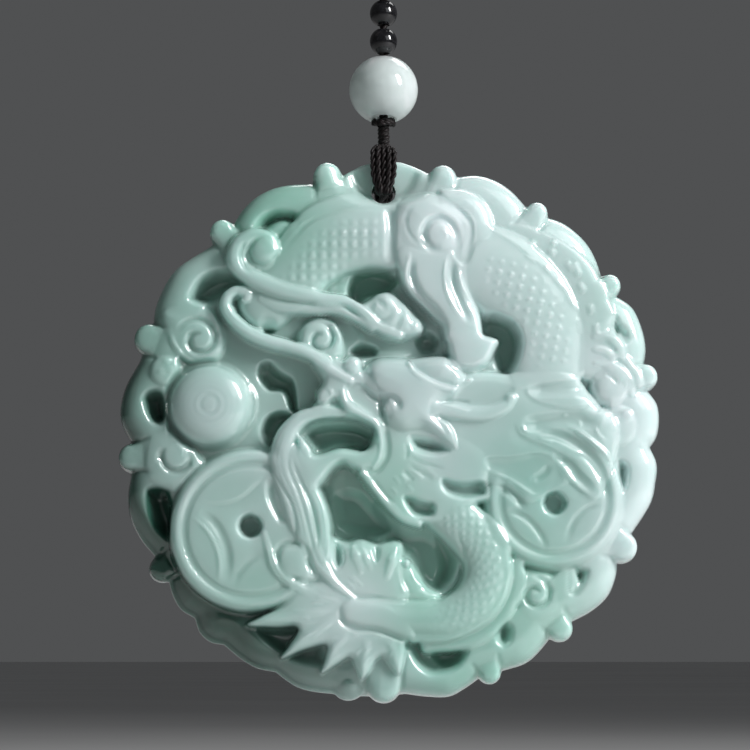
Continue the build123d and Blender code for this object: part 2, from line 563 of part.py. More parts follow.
def make_cord():
    """The hanging cord: legs over the rim, the run through the hole, stem, knot, core and eye."""
    leg_low = hole_centre - cord_tip_drop
    side = Plane.YZ * Polyline(
        (-leg_outside, leg_low), (-leg_outside, arch_top), (leg_outside, arch_top), (leg_outside, leg_low),
        (leg_inside, leg_low), (leg_inside, arch_inside), (-leg_inside, arch_inside), (-leg_inside, leg_low),
        close=True)
    legs = extrude(make_face(side.edges()), amount=cord_leg_width / 2, both=True)
    outer_arch = legs.edges().filter_by(Axis.X).filter_by_position(Axis.Z, arch_top, arch_top)
    legs = fillet(outer_arch, cord_arch_round + cord_leg_thickness / 2)
    inner_arch = legs.edges().filter_by(Axis.X).filter_by_position(Axis.Z, arch_inside, arch_inside)
    legs = fillet(inner_arch, cord_arch_round)
    leg_wide = hole_centre + cord_tip_drop / 2
    front = Plane.XZ * Polyline(
        (-cord_tip_width / 2, leg_low), (cord_tip_width / 2, leg_low), (cord_leg_width / 2, leg_wide),
        (cord_leg_width / 2, rim_top), (cord_arch_width / 2, arch_top), (-cord_arch_width / 2, arch_top),
        (-cord_leg_width / 2, rim_top), (-cord_leg_width / 2, leg_wide), close=True)
    legs &= extrude(make_face(front.edges()), amount=2 * leg_outside, both=True)
    run_z = hole_centre + cord_hole_diameter / 2 - cord_hole_run_diameter / 2 - cord_gap
    run = Pos(0, 0, run_z) * Cylinder(cord_hole_run_diameter / 2, 2 * leg_inside + cord_leg_thickness,
                                      rotation=(90, 0, 0))
    stem_bottom = arch_top - cord_leg_thickness / 2
    stem = Pos(0, 0, (stem_bottom + stem_top) / 2) * Cylinder(cord_stem_diameter / 2, stem_top - stem_bottom)
    knot = Pos(0, 0, (knot_top + stem_top) / 2) * Cylinder(cord_knot_diameter / 2, cord_knot_height)
    knot = fillet(knot.edges(), cord_knot_round)
    core_top = eye_centre - cord_eye_radius
    core = Pos(0, 0, (stem_top + core_top) / 2) * Cylinder(cord_core_diameter / 2, core_top - stem_top)
    eye = Pos(0, 0, eye_centre) * Torus(cord_eye_radius, cord_eye_wire / 2, rotation=(0, 90, 0))
    return legs + run + stem + knot + core + eye


def loop_place(distance):
    """Place and turn on the loop, a distance along it from the bottom of the small turn."""
    turn_half = turn_radius * (math.pi / 2 - lean)
    run = circle_drop * math.cos(lean)
    side = 1
    if distance > necklace_length / 2:
        distance = necklace_length - distance
        side = -1
    if distance <= turn_half:
        angle = distance / turn_radius
        x = turn_radius * math.sin(angle)
        z = turn_centre - turn_radius * math.cos(angle)
    elif distance <= turn_half + run:
        angle = math.pi / 2 - lean
        along = distance - turn_half
        x = turn_radius * math.sin(angle) + along * math.sin(lean)
        z = turn_centre - turn_radius * math.cos(angle) + along * math.cos(lean)
    else:
        angle = math.pi / 2 - lean + (distance - turn_half - run) / neck_radius
        x = neck_radius * math.sin(angle)
        z = circle_centre - neck_radius * math.cos(angle)
    return side * x, z, side * (90 - math.degrees(angle))


def make_string():
    """Small beads all the way round the loop, with room for the cord's eye at the bottom."""
    eye_room = cord_eye_wire + 2 * small_bead_gap
    length = necklace_length - eye_room
    count = math.floor(length / (small_bead_diameter + small_bead_gap))
    bead = make_bead(small_bead_diameter, string_bead_bore)
    beads = []
    for k in range(count):
        x, z, turn = loop_place(eye_room / 2 + (k + 0.5) * length / count)
        beads.append(Pos(x, 0, z) * Rot(0, turn, 0) * bead)
    return Compound(children=beads)


def make_thread():
    """The thread through the string of beads: two straight runs and two arcs."""
    reach = math.cos(lean)
    rise = math.sin(lean)
    corners = []
    for r, centre in ((turn_radius, turn_centre), (neck_radius, circle_centre)):
        corners.append(((r * reach, 0, centre - r * rise), (-r * reach, 0, centre - r * rise)))
    (low_right, low_left), (high_right, high_left) = corners
    path = Wire([
        ThreePointArc(low_left, (0, 0, turn_centre - turn_radius), low_right),
        Line(low_right, high_right),
        ThreePointArc(high_right, (0, 0, circle_centre + neck_radius), high_left),
        Line(high_left, low_left),
    ])
    start = Plane(origin=(0, 0, circle_centre + neck_radius), z_dir=(1, 0, 0))
    return sweep(start * Circle(thread_diameter / 2), path=path)


parts = {
    "jade_pendant": make_jade(),
    "hanging_cord": make_cord(),
    "jade_bead": Pos(0, 0, jade_bead_centre) * make_jade_bead(),
    "bead_string": make_string(),
    "string_thread": make_thread(),
}
for number in range(drop_bead_count):
    bead = make_bead(small_bead_diameter, drop_bead_bore)
    parts[f"drop_bead_{number + 1}"] = Pos(0, 0, drop_bead_top - number * drop_pitch) * bead

os.makedirs("parts", exist_ok=True)
for node, shape in parts.items():
    export_step(shape, f"parts/{node}.step")
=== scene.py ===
import bpy
import json
import math
import numpy as np
from mathutils import Matrix, Vector


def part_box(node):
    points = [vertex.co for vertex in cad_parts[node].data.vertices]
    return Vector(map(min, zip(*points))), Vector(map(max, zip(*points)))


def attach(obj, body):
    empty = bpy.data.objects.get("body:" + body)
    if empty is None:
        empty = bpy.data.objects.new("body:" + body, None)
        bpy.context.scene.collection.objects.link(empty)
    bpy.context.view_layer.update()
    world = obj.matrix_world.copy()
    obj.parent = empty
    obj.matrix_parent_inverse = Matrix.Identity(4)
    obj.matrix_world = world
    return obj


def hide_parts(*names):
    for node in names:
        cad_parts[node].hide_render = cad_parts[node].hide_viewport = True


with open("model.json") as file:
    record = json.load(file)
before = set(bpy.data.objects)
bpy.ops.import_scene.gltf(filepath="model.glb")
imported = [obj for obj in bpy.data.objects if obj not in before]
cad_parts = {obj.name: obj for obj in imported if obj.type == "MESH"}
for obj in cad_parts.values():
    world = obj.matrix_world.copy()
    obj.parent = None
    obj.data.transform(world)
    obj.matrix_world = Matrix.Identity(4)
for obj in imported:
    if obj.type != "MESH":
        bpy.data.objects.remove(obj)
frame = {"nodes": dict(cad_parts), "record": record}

# A carved jade pendant hanging from a loop of small black beads. Sizes are in
# metres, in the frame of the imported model: +Z is up and the carving looks along -Y.
for spare in ("Cube", "Light", "Camera"):
    if spare in bpy.data.objects:
        bpy.data.objects.remove(bpy.data.objects[spare])
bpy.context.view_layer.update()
MM = 0.001

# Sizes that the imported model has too
jade_radius = 29.0 * MM
jade_thickness = 9.0 * MM
jade_back_round = 0.9 * MM
cord_hole_radius = 1.3 * MM
bead_tilt = math.radians(-12)
small_bead_radius = 1.5 * MM
string_bore_radius = 0.45 * MM
drop_bore_radius = 0.7 * MM
drop_bead_count = 4
jade_bead_radius = 3.75 * MM
jade_bead_bore = 1.0 * MM
jade_bead_mouth = 1.4 * MM
necklace_length = 620.0 * MM
neck_radius = 55.0 * MM
turn_radius = 5.0 * MM
eye_room = 0.8 * MM
bead_pitch = 3.1 * MM
cord_eye_radius = 0.75 * MM
cord_eye_wire = 0.3 * MM

# The carving is drawn in hundredths: places and widths across the face are
# hundredths of the disc's radius from its middle, right and up, and levels are
# hundredths of its thickness over the back.
hole_place = (-2.0, 87.6)
seat_level = 50.0
recess_floor = 13.0
edge_level = 30.0
rim_level = 56.0
rim_rounding = 10.0
ground_level = 44.0
ground_radius = 82.0
plain_radius = 97.0

# The rim stands lower from one angle to another, in degrees from the left and downward
rim_drop = 15.0
low_rim_from = 12
low_rim_to = 88


def middle(node):
    """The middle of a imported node's box."""
    low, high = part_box(node)
    return (Vector(low) + Vector(high)) / 2


back_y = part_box("jade_pendant")[1][1]
eye_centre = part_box("hanging_cord")[1][2] - cord_eye_radius - cord_eye_wire
bead_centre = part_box("jade_bead")[1][2] - math.sqrt(jade_bead_radius ** 2 - jade_bead_bore ** 2)
hole_centre = frame["record"]["behaviour"]["joints"][0]["pos_m"][2]
rim_top = hole_centre + (100 - hole_place[1]) / 100 * jade_radius
disc_centre_x = -hole_place[0] / 100 * jade_radius
disc_centre_z = hole_centre - hole_place[1] / 100 * jade_radius

# Lobes of the scalloped rim, clockwise from the top
LOBES = [
    [(-17.5, 95), (-8, 99.5), (2.5, 100.2), (8, 98.8), (14.5, 96)],
    [(26, 94.5), (33, 95), (40, 93), (46, 89), (51, 83.5)],
    [(58.5, 79.5), (66, 76.5), (73, 70.5), (77, 64), (79.5, 56.5)],
    [(85, 49.5), (91, 45), (94.5, 37), (95.7, 30), (95, 24)],
    [(96.5, 14), (99.8, 9), (100.5, 3), (99.5, -3), (97, -7)],
    [(97, -7), (99.5, -13), (99, -20), (97, -28), (90.3, -38.5)],
    [(84.7, -49.5), (84, -55), (81, -62), (75, -67.5), (67.5, -71.5)],
    [(60, -77), (55, -83), (50, -87), (42, -89.5)],
    [(33, -92.5), (28, -96), (22, -99), (14, -99), (6, -98)],
    [(-21, -98), (-29, -97), (-35, -95), (-42, -90)],
    [(-42, -90), (-49, -88.5), (-55, -85), (-61, -80)],
    [(-61, -80), (-66, -79), (-70, -75.5), (-72, -70)],
    [(-72, -70), (-77, -67), (-80, -62), (-81.5, -57)],
    [(-87, -47), (-92, -41), (-96, -33), (-97, -25), (-96, -18)],
    [(-96, -5), (-99.5, 2), (-100, 8), (-98, 16), (-93, 25)],
    [(-88, 39), (-87, 46), (-83, 55), (-78, 61), (-67, 68)],
    [(-58, 77), (-54, 83), (-48, 88), (-40, 91), (-29, 92)],
]

# Round knuckles between the lobes: across, up, radius, and how far they stand out, from 0 to 1
KNUCKLES = [
    (-23, 94, 5.5, 0.45), (20, 93, 5.5, 0.3), (55, 80, 4.5, 0.6), (82, 53, 4.5, 0.5), (95, 19, 5.0, 0.5),
    (86, -44, 6.0, 0.3), (63, -74, 5.0, 0.2), (37, -90, 4.5, 0.2), (-2, -95, 6.5, 0.9), (-15, -94, 6.5, 0),
    (-84, -52, 5.0, 0.2), (-95, -11, 5.5, 0.4), (-89, 33, 6.0, 0.3), (-62, 73, 5.0, 0.5),
]


def curve(points, closed=False, steps=6):
    """A smooth line through a few chosen points."""
    p = np.array(points, float)
    if closed:
        chain = np.vstack([p[-1:], p, p[:2]])
    else:
        chain = np.vstack([2 * p[0] - p[1], p, 2 * p[-1] - p[-2]])
    t = (np.arange(steps) / steps)[:, None]
    spans = []
    for k in range(len(chain) - 3):
        a, b, c, d = chain[k:k + 4]
        square = (2 * a - 5 * b + 4 * c - d) * t ** 2
        cube = (3 * b - 3 * c + d - a) * t ** 3
        spans.append(0.5 * (2 * b + (c - a) * t + square + cube))
    if not closed:
        spans.append(p[-1:])
    return np.vstack(spans)


def spiral(centre, start, end, turns, heading):
    """Points of a spiral between two radii, from a heading in degrees."""
    share = np.linspace(0, 1, max(4, int(abs(turns) * 10)) + 1)
    angle = np.radians(heading) + 2 * np.pi * turns * share
    r = start + (end - start) * share
    return [(centre[0] + a * np.cos(b), centre[1] + a * np.sin(b)) for a, b in zip(r, angle)]


def spread(values, count):
    """One value, or a few, spread evenly over a number of points."""
    values = np.atleast_1d(np.array(values, float))
    return np.interp(np.linspace(0, 1, count), np.linspace(0, 1, len(values)), values)


def eased(share):
    """A share from 0 to 1 that starts and ends softly."""
    return share * share * (3 - 2 * share)


def fading(count, steepness):
    """A weight for each point of a line that falls to nothing at both ends."""
    along = np.linspace(0, 1, count)
    return np.clip(steepness * np.minimum(along, 1 - along), 0, 1)


def bent(start, end, across=0.0, up=0.0):
    """A short line that bends a little aside at its middle."""
    return [start, ((start[0] + end[0]) / 2 + across, (start[1] + end[1]) / 2 + up), end]


def rim_line():
    """The scalloped rim, lobe after lobe."""
    return np.vstack([curve(lobe, steps=5) for lobe in LOBES])


def rim_reach(angle):
    """Distance from the middle to the rim, knuckles included, at each angle."""
    line = rim_line()
    around = np.arctan2(line[:, 1], line[:, 0])
    order = np.argsort(around)
    around = around[order]
    reach = np.hypot(line[:, 0], line[:, 1])[order]
    whole = 2 * np.pi
    result = np.interp(angle, np.r_[around - whole, around, around + whole], np.r_[reach, reach, reach])
    for x, y, size, _ in KNUCKLES:
        far = np.hypot(x, y)
        turn = angle - np.arctan2(y, x)
        aside = far * np.sin(turn)
        ahead = far * np.cos(turn)
        hit = (np.abs(aside) < size) & (ahead > 0)
        crown = ahead + np.sqrt(np.maximum(size ** 2 - aside ** 2, 0))
        result = np.where(hit, np.maximum(result, crown), result)
    return result


# How far a patch swells inward, in widths of its edge, and how low the gaps between scales lie
crown_reach = 2.5
scale_gap = 0.3


class Relief:
    """Levels over the back, raised and sunk one carved form after another."""

    def __init__(self, across, up):
        self.x = np.asarray(across, float)
        self.y = np.asarray(up, float)
        self.level = np.zeros(self.x.shape)

    def near(self, line, reach):
        """The places in the box round a line, widened by a reach."""
        low = line.min(0) - reach
        high = line.max(0) + reach
        inside_x = (self.x > low[0]) & (self.x < high[0])
        inside_y = (self.y > low[1]) & (self.y < high[1])
        return np.nonzero(inside_x & inside_y)[0]

    def measure(self, line, pick, closed, *columns):
        """Distance to a line, its side, what lies inside it, and the columns at the nearest place."""
        x = self.x[pick]
        y = self.y[pick]
        best = np.full(x.shape, np.inf)
        side = np.zeros(x.shape)
        values = [np.zeros(x.shape) for _ in columns]
        inside = np.zeros(x.shape, bool)
        for i in range(len(line) if closed else len(line) - 1):
            j = (i + 1) % len(line)
            ax, ay = line[i]
            dx, dy = line[j] - line[i]
            share = ((x - ax) * dx + (y - ay) * dy) / max(dx * dx + dy * dy, 1e-12)
            share = np.clip(share, 0, 1)
            distance = np.hypot(x - ax - share * dx, y - ay - share * dy)
            closer = distance < best
            best = np.where(closer, distance, best)
            side = np.where(closer, np.sign(dx * (y - ay) - dy * (x - ax)), side)
            for k, column in enumerate(columns):
                here = column[i] + share * (column[j] - column[i])
                values[k] = np.where(closer, here, values[k])
            if closed and dy != 0:
                crosses = (ay > y) != (line[j][1] > y)
                inside ^= crosses & (x < ax + (y - ay) / dy * dx)
        return best, side, inside, values

    def inner(self, outline):
        """The places inside a closed outline, and their distances from it."""
        line = curve(outline, closed=True)
        pick = self.near(line, 0)
        distance, _, inside, _ = self.measure(line, pick, True)
        return pick[inside], distance[inside]

    def strand(self, path, half_width, crest, squareness=2.0):
        """A rounded strand along a path, with one or a few half widths and crest levels."""
        line = curve(path)
        width = spread(half_width, len(line))
        top = spread(crest, len(line))
        pick = self.near(line, width.max())
        distance, _, _, (width, top) = self.measure(line, pick, False, width, top)
        share = np.clip(distance / width, 0, 1)
        profile = (1 - share ** squareness) ** (1 / squareness)
        self.level[pick] += np.maximum(0, top - self.level[pick]) * profile

    def patch(self, outline, level, edge, crown=0.0):
        """A closed outline raised or sunk to a level, with a rounded edge and a crown."""
        pick, distance = self.inner(outline)
        profile = np.sqrt(1 - (1 - np.clip(distance / edge, 0, 1)) ** 2)
        swell = 1 - (1 - np.clip(distance / (crown_reach * edge), 0, 1)) ** 2
        self.level[pick] += (level + crown * swell - self.level[pick]) * profile

    def recess(self, outline, floor, wall=2.5):
        """A blind recess with a smooth, steep wall."""
        pick, distance = self.inner(outline)
        profile = eased(np.clip(distance / wall, 0, 1))
        self.level[pick] += np.minimum(0, floor - self.level[pick]) * profile

    def groove(self, path, half_width, depth):
        """A cut line, or a fine ridge where the depth is below zero."""
        line = curve(path)
        pick = self.near(line, half_width)
        distance, _, _, (cut,) = self.measure(line, pick, False, depth * fading(len(line), 5))
        share = np.clip(distance / half_width, 0, 1)
        self.level[pick] -= cut * (1 - share * share) ** 2

    def lap(self, path, reach, depth, edge=0.9):
        """Sinks what lies left of a path, most beside it, so that its right side laps over."""
        line = curve(path)
        pick = self.near(line, reach)
        distance, side, _, (cut,) = self.measure(line, pick, False, depth * fading(len(line), 4))
        share = np.clip(distance / reach, 0, 1)
        step = eased(np.clip((distance * side / edge + 1) / 2, 0, 1))
        self.level[pick] -= cut * step * (1 - share) ** 2

    def disc(self, centre, rings):
        """A round form: rings of radius and level, from its middle out, the last one a blended skirt."""
        rows = np.array(rings, float)
        distance = np.hypot(self.x - centre[0], self.y - centre[1])
        pick = distance < rows[-1, 0]
        share = np.clip((rows[-1, 0] - distance[pick]) / (rows[-1, 0] - rows[-2, 0]), 0, 1)
        form = np.interp(distance[pick], rows[:, 0], rows[:, 1])
        self.level[pick] += (form - self.level[pick]) * eased(share)

    def stipple(self, outline, pitch, lean, rise, fade=3.0, sharpness=1.0):
        """Rows of small raised scales inside an outline, turned by a lean in degrees."""
        pick, distance = self.inner(outline)
        strength = np.clip(distance / fade, 0, 1)
        turn = np.radians(lean)
        a = self.x[pick] * np.cos(turn) + self.y[pick] * np.sin(turn)
        b = self.y[pick] * np.cos(turn) - self.x[pick] * np.sin(turn)
        cell = (np.sin(np.pi * a / pitch[0]) * np.sin(np.pi * b / pitch[1])) ** 2
        self.level[pick] += strength * rise * (cell ** sharpness - scale_gap)

    def crossed_scales(self, path, half_width, pitch, rise, length):
        """Small raised scales in rows that cross along a path, for a length of it."""
        line = curve(path)
        pick = self.near(line, half_width)
        along = np.concatenate([[0], np.cumsum(np.hypot(*np.diff(line, axis=0).T))])
        distance, side, _, (travel,) = self.measure(line, pick, False, along)
        strength = np.clip((half_width - distance) / 3, 0, 1)
        strength *= np.clip(travel / 5, 0, 1) * np.clip((length - travel) / 20, 0, 1)
        across = distance * side
        rows = np.sin(np.pi * (travel + across) / pitch) * np.sin(np.pi * (travel - across) / pitch)
        self.level[pick] += strength * rise * (rows ** 2 - scale_gap)


def carve_knuckle(k, centre, size, stands):
    """A crest that runs from a knuckle in to the ground, with a cut line along each side."""
    out = centre / np.hypot(*centre)
    run = 4 + 10 * stands
    crest = rim_level + 4 * stands - 3
    k.strand([centre, centre - run / 2 * out, centre - run * out],
             half_width=(size - 0.4, size - 0.9, size - 2), crest=(crest, crest - 1, ground_level + 2),
             squareness=2.6)
    for hand in (-1, 1):
        aside = np.array([-out[1], out[0]]) * hand
        root = centre + aside * (size + 0.2)
        path = [root + 4 * out, root - 3 * out, root - 0.6 * run * out, root - run * out + aside]
        k.groove(path, half_width=1.5, depth=1 + 2.5 * stands)


def carve_rim(k):
    """Rounded outer edge, polished lobes and knuckles, and the sunk ground inside them."""
    distance, _, inside, _ = k.measure(rim_line(), np.arange(k.x.size), True)
    depth = np.where(inside, distance, 0)
    for x, y, size, _ in KNUCKLES:
        depth = np.maximum(depth, size + 0.5 - np.hypot(k.x - x, k.y - y))
    share = np.clip(depth / rim_rounding, 0, 1)
    k.level = edge_level + (rim_level - edge_level) * np.sqrt(1 - (1 - share) ** 2)
    turns = np.radians(np.arange(0, 360, 15))
    k.patch(ground_radius * np.stack([np.cos(turns), np.sin(turns)], 1), level=ground_level, edge=7)
    for x, y, size, stands in KNUCKLES:
        if stands:
            carve_knuckle(k, np.array([x, y]), size, stands)
    # The rim stands lower below the left coin and the tail
    turn = np.degrees(np.arctan2(-k.y, -k.x))
    low = np.clip((turn - low_rim_from) / 16, 0, 1) * np.clip((low_rim_to - turn) / 10, 0, 1)
    k.level -= rim_drop * low * np.clip((k.level - edge_level) / 16, 0, 1)


def carve_recesses(k):
    """Blind recesses in the ground, round the rim first and then the inner ones."""
    shallow = recess_floor + 11
    for outline, floor, wall in (
        ([(-92, 10), (-90, 14), (-85, 15), (-81.5, 12), (-80.5, 4), (-84, 0), (-89, 2)], shallow, 6),
        ([(-75, 47), (-72, 55), (-65, 59.5), (-58, 59), (-54, 54), (-60, 48), (-67, 44)], shallow, 6),
        ([(-52, 73), (-48, 79.5), (-41, 82), (-33, 80), (-33, 74.5), (-40, 74.5), (-46, 71.5)], shallow, 6),
        ([(-90, -22), (-90, -31), (-86, -39.5), (-78, -44), (-75, -37), (-78, -30), (-81, -22)], shallow, 6),
        ([(-50, -74), (-33, -72), (-30, -78), (-24, -80), (-24, -88), (-38, -86)], shallow, 6),
        ([(7, -78), (8, -86), (14, -91.6), (22, -91), (28, -86.6), (30, -79), (20, -77)], 34, 4.5),
        ([(82, 30), (86, 36), (84, 42), (79, 40), (77, 34)], 34, 4.5),
        ([(84, -11), (89, -14), (88.5, -22), (85, -25), (83, -18)], 34, 4.5),
        ([(15, -82), (16.4, -87), (21, -88.6), (26, -86), (27, -81.6), (21, -80)], recess_floor + 10, 4.5),
        ([(38.8, -72.4), (42.6, -70.6), (46.2, -73), (45.8, -78.6), (42, -81.6), (38.6, -78.6)], 38, 4.4),
        ([(65.5, -50), (70, -50.6), (74, -52), (73, -57), (69, -62.5), (65, -61)], 32, 5),
        ([(-16, 50), (-13.5, 58), (-6, 60.5), (1, 58), (8, 52), (14, 46), (21, 38), (20, 28), (14, 25.5),
          (-4, 25.5), (-13, 25), (-15.5, 28), (-12, 33), (-16, 40)], 39, 3.5),
        ([(-16, 49), (-14.5, 56), (-8, 60), (-1, 59), (4, 55), (0, 50), (-8, 48), (-12, 44)], recess_floor,
         3.6),
        ([(-49, 19), (-48, 24), (-44, 25), (-40, 21.5), (-35, 18), (-33.5, 11), (-33.5, 5), (-37, 6),
          (-39.5, 12.5), (-45, 13.5)], recess_floor, 3.6),
        ([(-48, -2), (-46.5, 3.5), (-42, 6.5), (-36, 6), (-34.5, 3.5), (-39, -0.5), (-41.5, -6),
          (-45, -7.5)], recess_floor, 3.6),
        ([(35, 38), (39, 40.5), (44, 38.5), (47.3, 33), (46.5, 26), (43, 21), (40.5, 22.5), (41.3, 30),
          (39, 34)], recess_floor, 3.6),
        ([(-31, -3), (-28.5, 0.5), (-22, 2), (-12, 1.5), (-7, -1), (-5.5, -5), (-9, -8.5), (-18, -7),
          (-26, -9)], recess_floor + 14, 3.6),
    ):
        k.recess(outline, floor=floor, wall=wall)
    # Below the jaw: a deep hollow, and a wider shallow one where the lower coil turns
    for outline, floor, wall in (
        ([(-22, -18), (-17, -13.5), (-12, -16), (-6, -23), (-1, -28.5), (5, -36), (3, -41.5), (-10, -42),
          (-20, -40), (-23, -32), (-24.5, -24)], recess_floor + 14, 9),
        ([(-20.5, -24), (-16, -21.5), (-10, -23), (-5, -28), (0, -34), (1, -39), (-9, -40.5), (-18, -37.5),
          (-20.5, -31)], recess_floor, 5),
        ([(-3, -34), (6, -35), (14, -35), (21, -39), (26, -46), (26, -54), (21, -61), (14, -62), (8, -57),
          (5, -49), (-3, -45)], recess_floor + 19, 7),
        ([(16, -38), (21, -41), (25.5, -48), (24, -56), (19, -60.5), (15.5, -58), (17, -51), (16, -45)],
         recess_floor + 8, 6),
        ([(9, 31), (11, 35.5), (16, 36), (19, 32), (17, 27.5), (12, 27)], recess_floor + 12, 3.4),
        ([(-15, 29), (-10, 32), (-4, 30), (-5, 26), (-12, 25.5)], recess_floor + 12, 3.4),
        ([(-49, 39), (-45.5, 43), (-41, 40), (-42, 35), (-47, 34.5)], recess_floor + 12, 3.4),
    ):
        k.recess(outline, floor=floor, wall=wall)


def carve_clouds(k):
    """Curled clouds and knobs between the rim and the dragon."""
    # Over the pearl
    k.patch([(-84, 43), (-78, 45), (-71, 45), (-66, 44), (-61, 36), (-61, 28), (-66, 23), (-74, 24),
             (-80, 29), (-83, 36)], level=56, edge=5, crown=4)
    k.groove(spiral((-70.5, 32.5), 8.5, 1.5, -1.3, 165), half_width=1.7, depth=7)
    k.groove([(-81.5, 36), (-79, 30), (-75, 25.5), (-71.5, 24)], half_width=1.2, depth=-4)
    k.groove([(-67, 44), (-64.5, 40), (-62.5, 36)], half_width=1.5, depth=-5)
    # Between the whiskers
    k.patch([(-34, 33), (-32, 38), (-26, 41), (-20, 39), (-17, 33), (-17, 26), (-22, 23), (-28, 25),
             (-33, 28)], level=62, edge=3.5, crown=4)
    k.groove(spiral((-25.5, 32.5), 6, 1.2, -1.2, 120), half_width=1.4, depth=10)
    k.groove([(-21.5, 39.5), (-18.5, 35), (-17.7, 30)], half_width=1.3, depth=-7)
    # Knob and curl at the left rim
    k.strand([(-82.6, 21.1), (-82.4, 20.9)], half_width=5.6, crest=62, squareness=2.4)
    for x, y in ((-84, 20.5), (-81, 21.3), (-82, 24.5)):
        k.strand([(x, y), (x + 0.2, y)], half_width=1.5, crest=63.5)
    k.patch([(-89.5, -9), (-87, -2.6), (-80, -0.8), (-73.6, -3.6), (-70.4, -9), (-67, -14), (-70, -20),
             (-78, -24), (-86, -21.6), (-89.6, -16)], level=57, edge=5, crown=3)
    k.groove([(-82.6, -7.6), (-84, -11), (-81.6, -15), (-77.4, -16), (-73.8, -13.6), (-73.2, -9)],
             half_width=2, depth=5)
    k.strand([(-78.6, -10.8), (-78.4, -10.6)], half_width=4.6, crest=61)
    k.groove([(-84.8, -12), (-84, -14.6), (-81.4, -17)], half_width=0.9, depth=-3)
    k.groove([(-78.6, -5.6), (-76.6, -8), (-75.8, -10.6)], half_width=0.8, depth=-2)
    # Upper right
    k.groove([(76, 36), (80, 37.4), (85, 36), (88.5, 31)], half_width=3, depth=9)
    for path, half_width, crest in (
        ([(76, 33.5), (80.5, 33.6), (84.4, 30.6), (85.6, 26.5)], (2.2, 2.6, 2), (62, 65, 62)),
        ([(76, 28.6), (79.5, 28), (82.4, 26)], 2, 63),
        ([(76, 23.6), (80.5, 23), (85, 20.6), (88.2, 17), (89.4, 13)], (2, 2.6, 1.8), (62, 64, 58)),
        ([(87, 25), (90.6, 20.6), (92, 16)], 2, 59),
        ([(81, 14.6), (81, 14.4)], 7, 64),
    ):
        k.strand(path, half_width=half_width, crest=crest)
    k.groove([(79.6, 19.4), (82, 18.4), (84.4, 15.6)], half_width=0.8, depth=3)
    k.strand([(83, 0.6), (83, 0.4)], half_width=8, crest=61)
    k.groove(spiral((83.4, 0.5), 5.2, 2.2, 0.8, 30), half_width=1.3, depth=3)
    k.strand([(87.6, 4.3), (87.6, 4.1)], half_width=2.4, crest=62)
    # Lower right
    k.patch([(45, -54), (48, -52), (58, -53), (61, -58), (62, -66), (56, -71), (49, -69), (46, -62)],
            level=56, edge=4.5, crown=4)
    k.groove(spiral((53.5, -61.5), 6.4, 1.2, -1.25, 100), half_width=1.5, depth=7)
    k.strand([(61, -50), (66, -53), (67, -58), (63, -62)], half_width=3, crest=54)
    k.strand([(63, -64), (70, -62), (76, -56), (78, -49)], half_width=3, crest=52)


def carve_body(k):
    """The body's upper coil with its fin, in small cut scales."""
    k.strand([(-45, 47), (-38, 54), (-29, 64), (-18, 69.5), (-5, 71), (10, 70), (26, 64), (41, 57), (52, 46),
              (57, 34), (58, 22)], half_width=(11, 12, 13, 13, 13, 13, 14, 16, 16, 15, 14),
             crest=(70, 75, 78, 79, 79, 77, 72), squareness=2.1)
    k.strand([(-45, 58), (-39, 69), (-30, 78.5), (-19, 83), (-9, 84.8), (1, 84)], half_width=(1.6, 3, 3.2),
             crest=(58, 66, 68), squareness=2.4)
    k.groove([(-40, 64), (-30, 75.5), (-19, 80), (-9, 81.6), (0, 80.6)], half_width=1.3, depth=3)
    k.groove([(-10.5, 86.6), (-8.5, 85), (-6, 83.6)], half_width=0.8, depth=-3)
    k.groove([(-0.5, 82), (0.6, 76), (0.8, 68), (0.5, 61)], half_width=2.6, depth=9)
    k.strand([(38, 73), (50, 70), (61, 63.6), (69, 55.4), (74, 45.6), (76.2, 35), (75, 25)],
             half_width=(3, 8, 8), crest=(56, 60, 60), squareness=3)
    for path in (
        [(59, 66), (61.4, 63.6)], [(59.6, 68.4), (62, 68)], [(65.4, 61.6), (67.8, 57.4)],
        [(68, 61.4), (70.4, 55.4)], [(70, 53.6), (72.2, 49.6)], [(74, 45.6), (74.8, 41.4)],
        [(76.2, 38.6), (76.6, 33.8)], [(52, 69), (54, 67)],
    ):
        k.groove(path, half_width=1.8, depth=-2.5)
    for path in (
        [(50, 63.4), (54.4, 60.8)], [(57.4, 59.8), (59.2, 56.6)], [(61, 54.8), (65.2, 50.8)],
        [(65.4, 49.2), (69, 42.8)], [(69.6, 40.8), (70.4, 33.8)],
    ):
        k.groove(path, half_width=1, depth=-1.8)
    k.stipple([(-42, 50), (-38, 60), (-30, 71), (-20, 77), (-8, 79), (-1.5, 78), (-1.5, 62), (-6, 61),
               (-14, 59), (-17, 51), (-28, 49)], pitch=(3.8, 4.1), lean=0, rise=3.4, fade=6, sharpness=0.8)
    k.stipple([(33, 60), (38, 64), (46, 62), (55, 57), (62, 48), (67, 38), (68, 27), (66, 22), (52, 22),
               (49, 34), (41, 43), (36, 49)], pitch=(4.3, 3.9), lean=-12, rise=2.7, fade=4, sharpness=2)


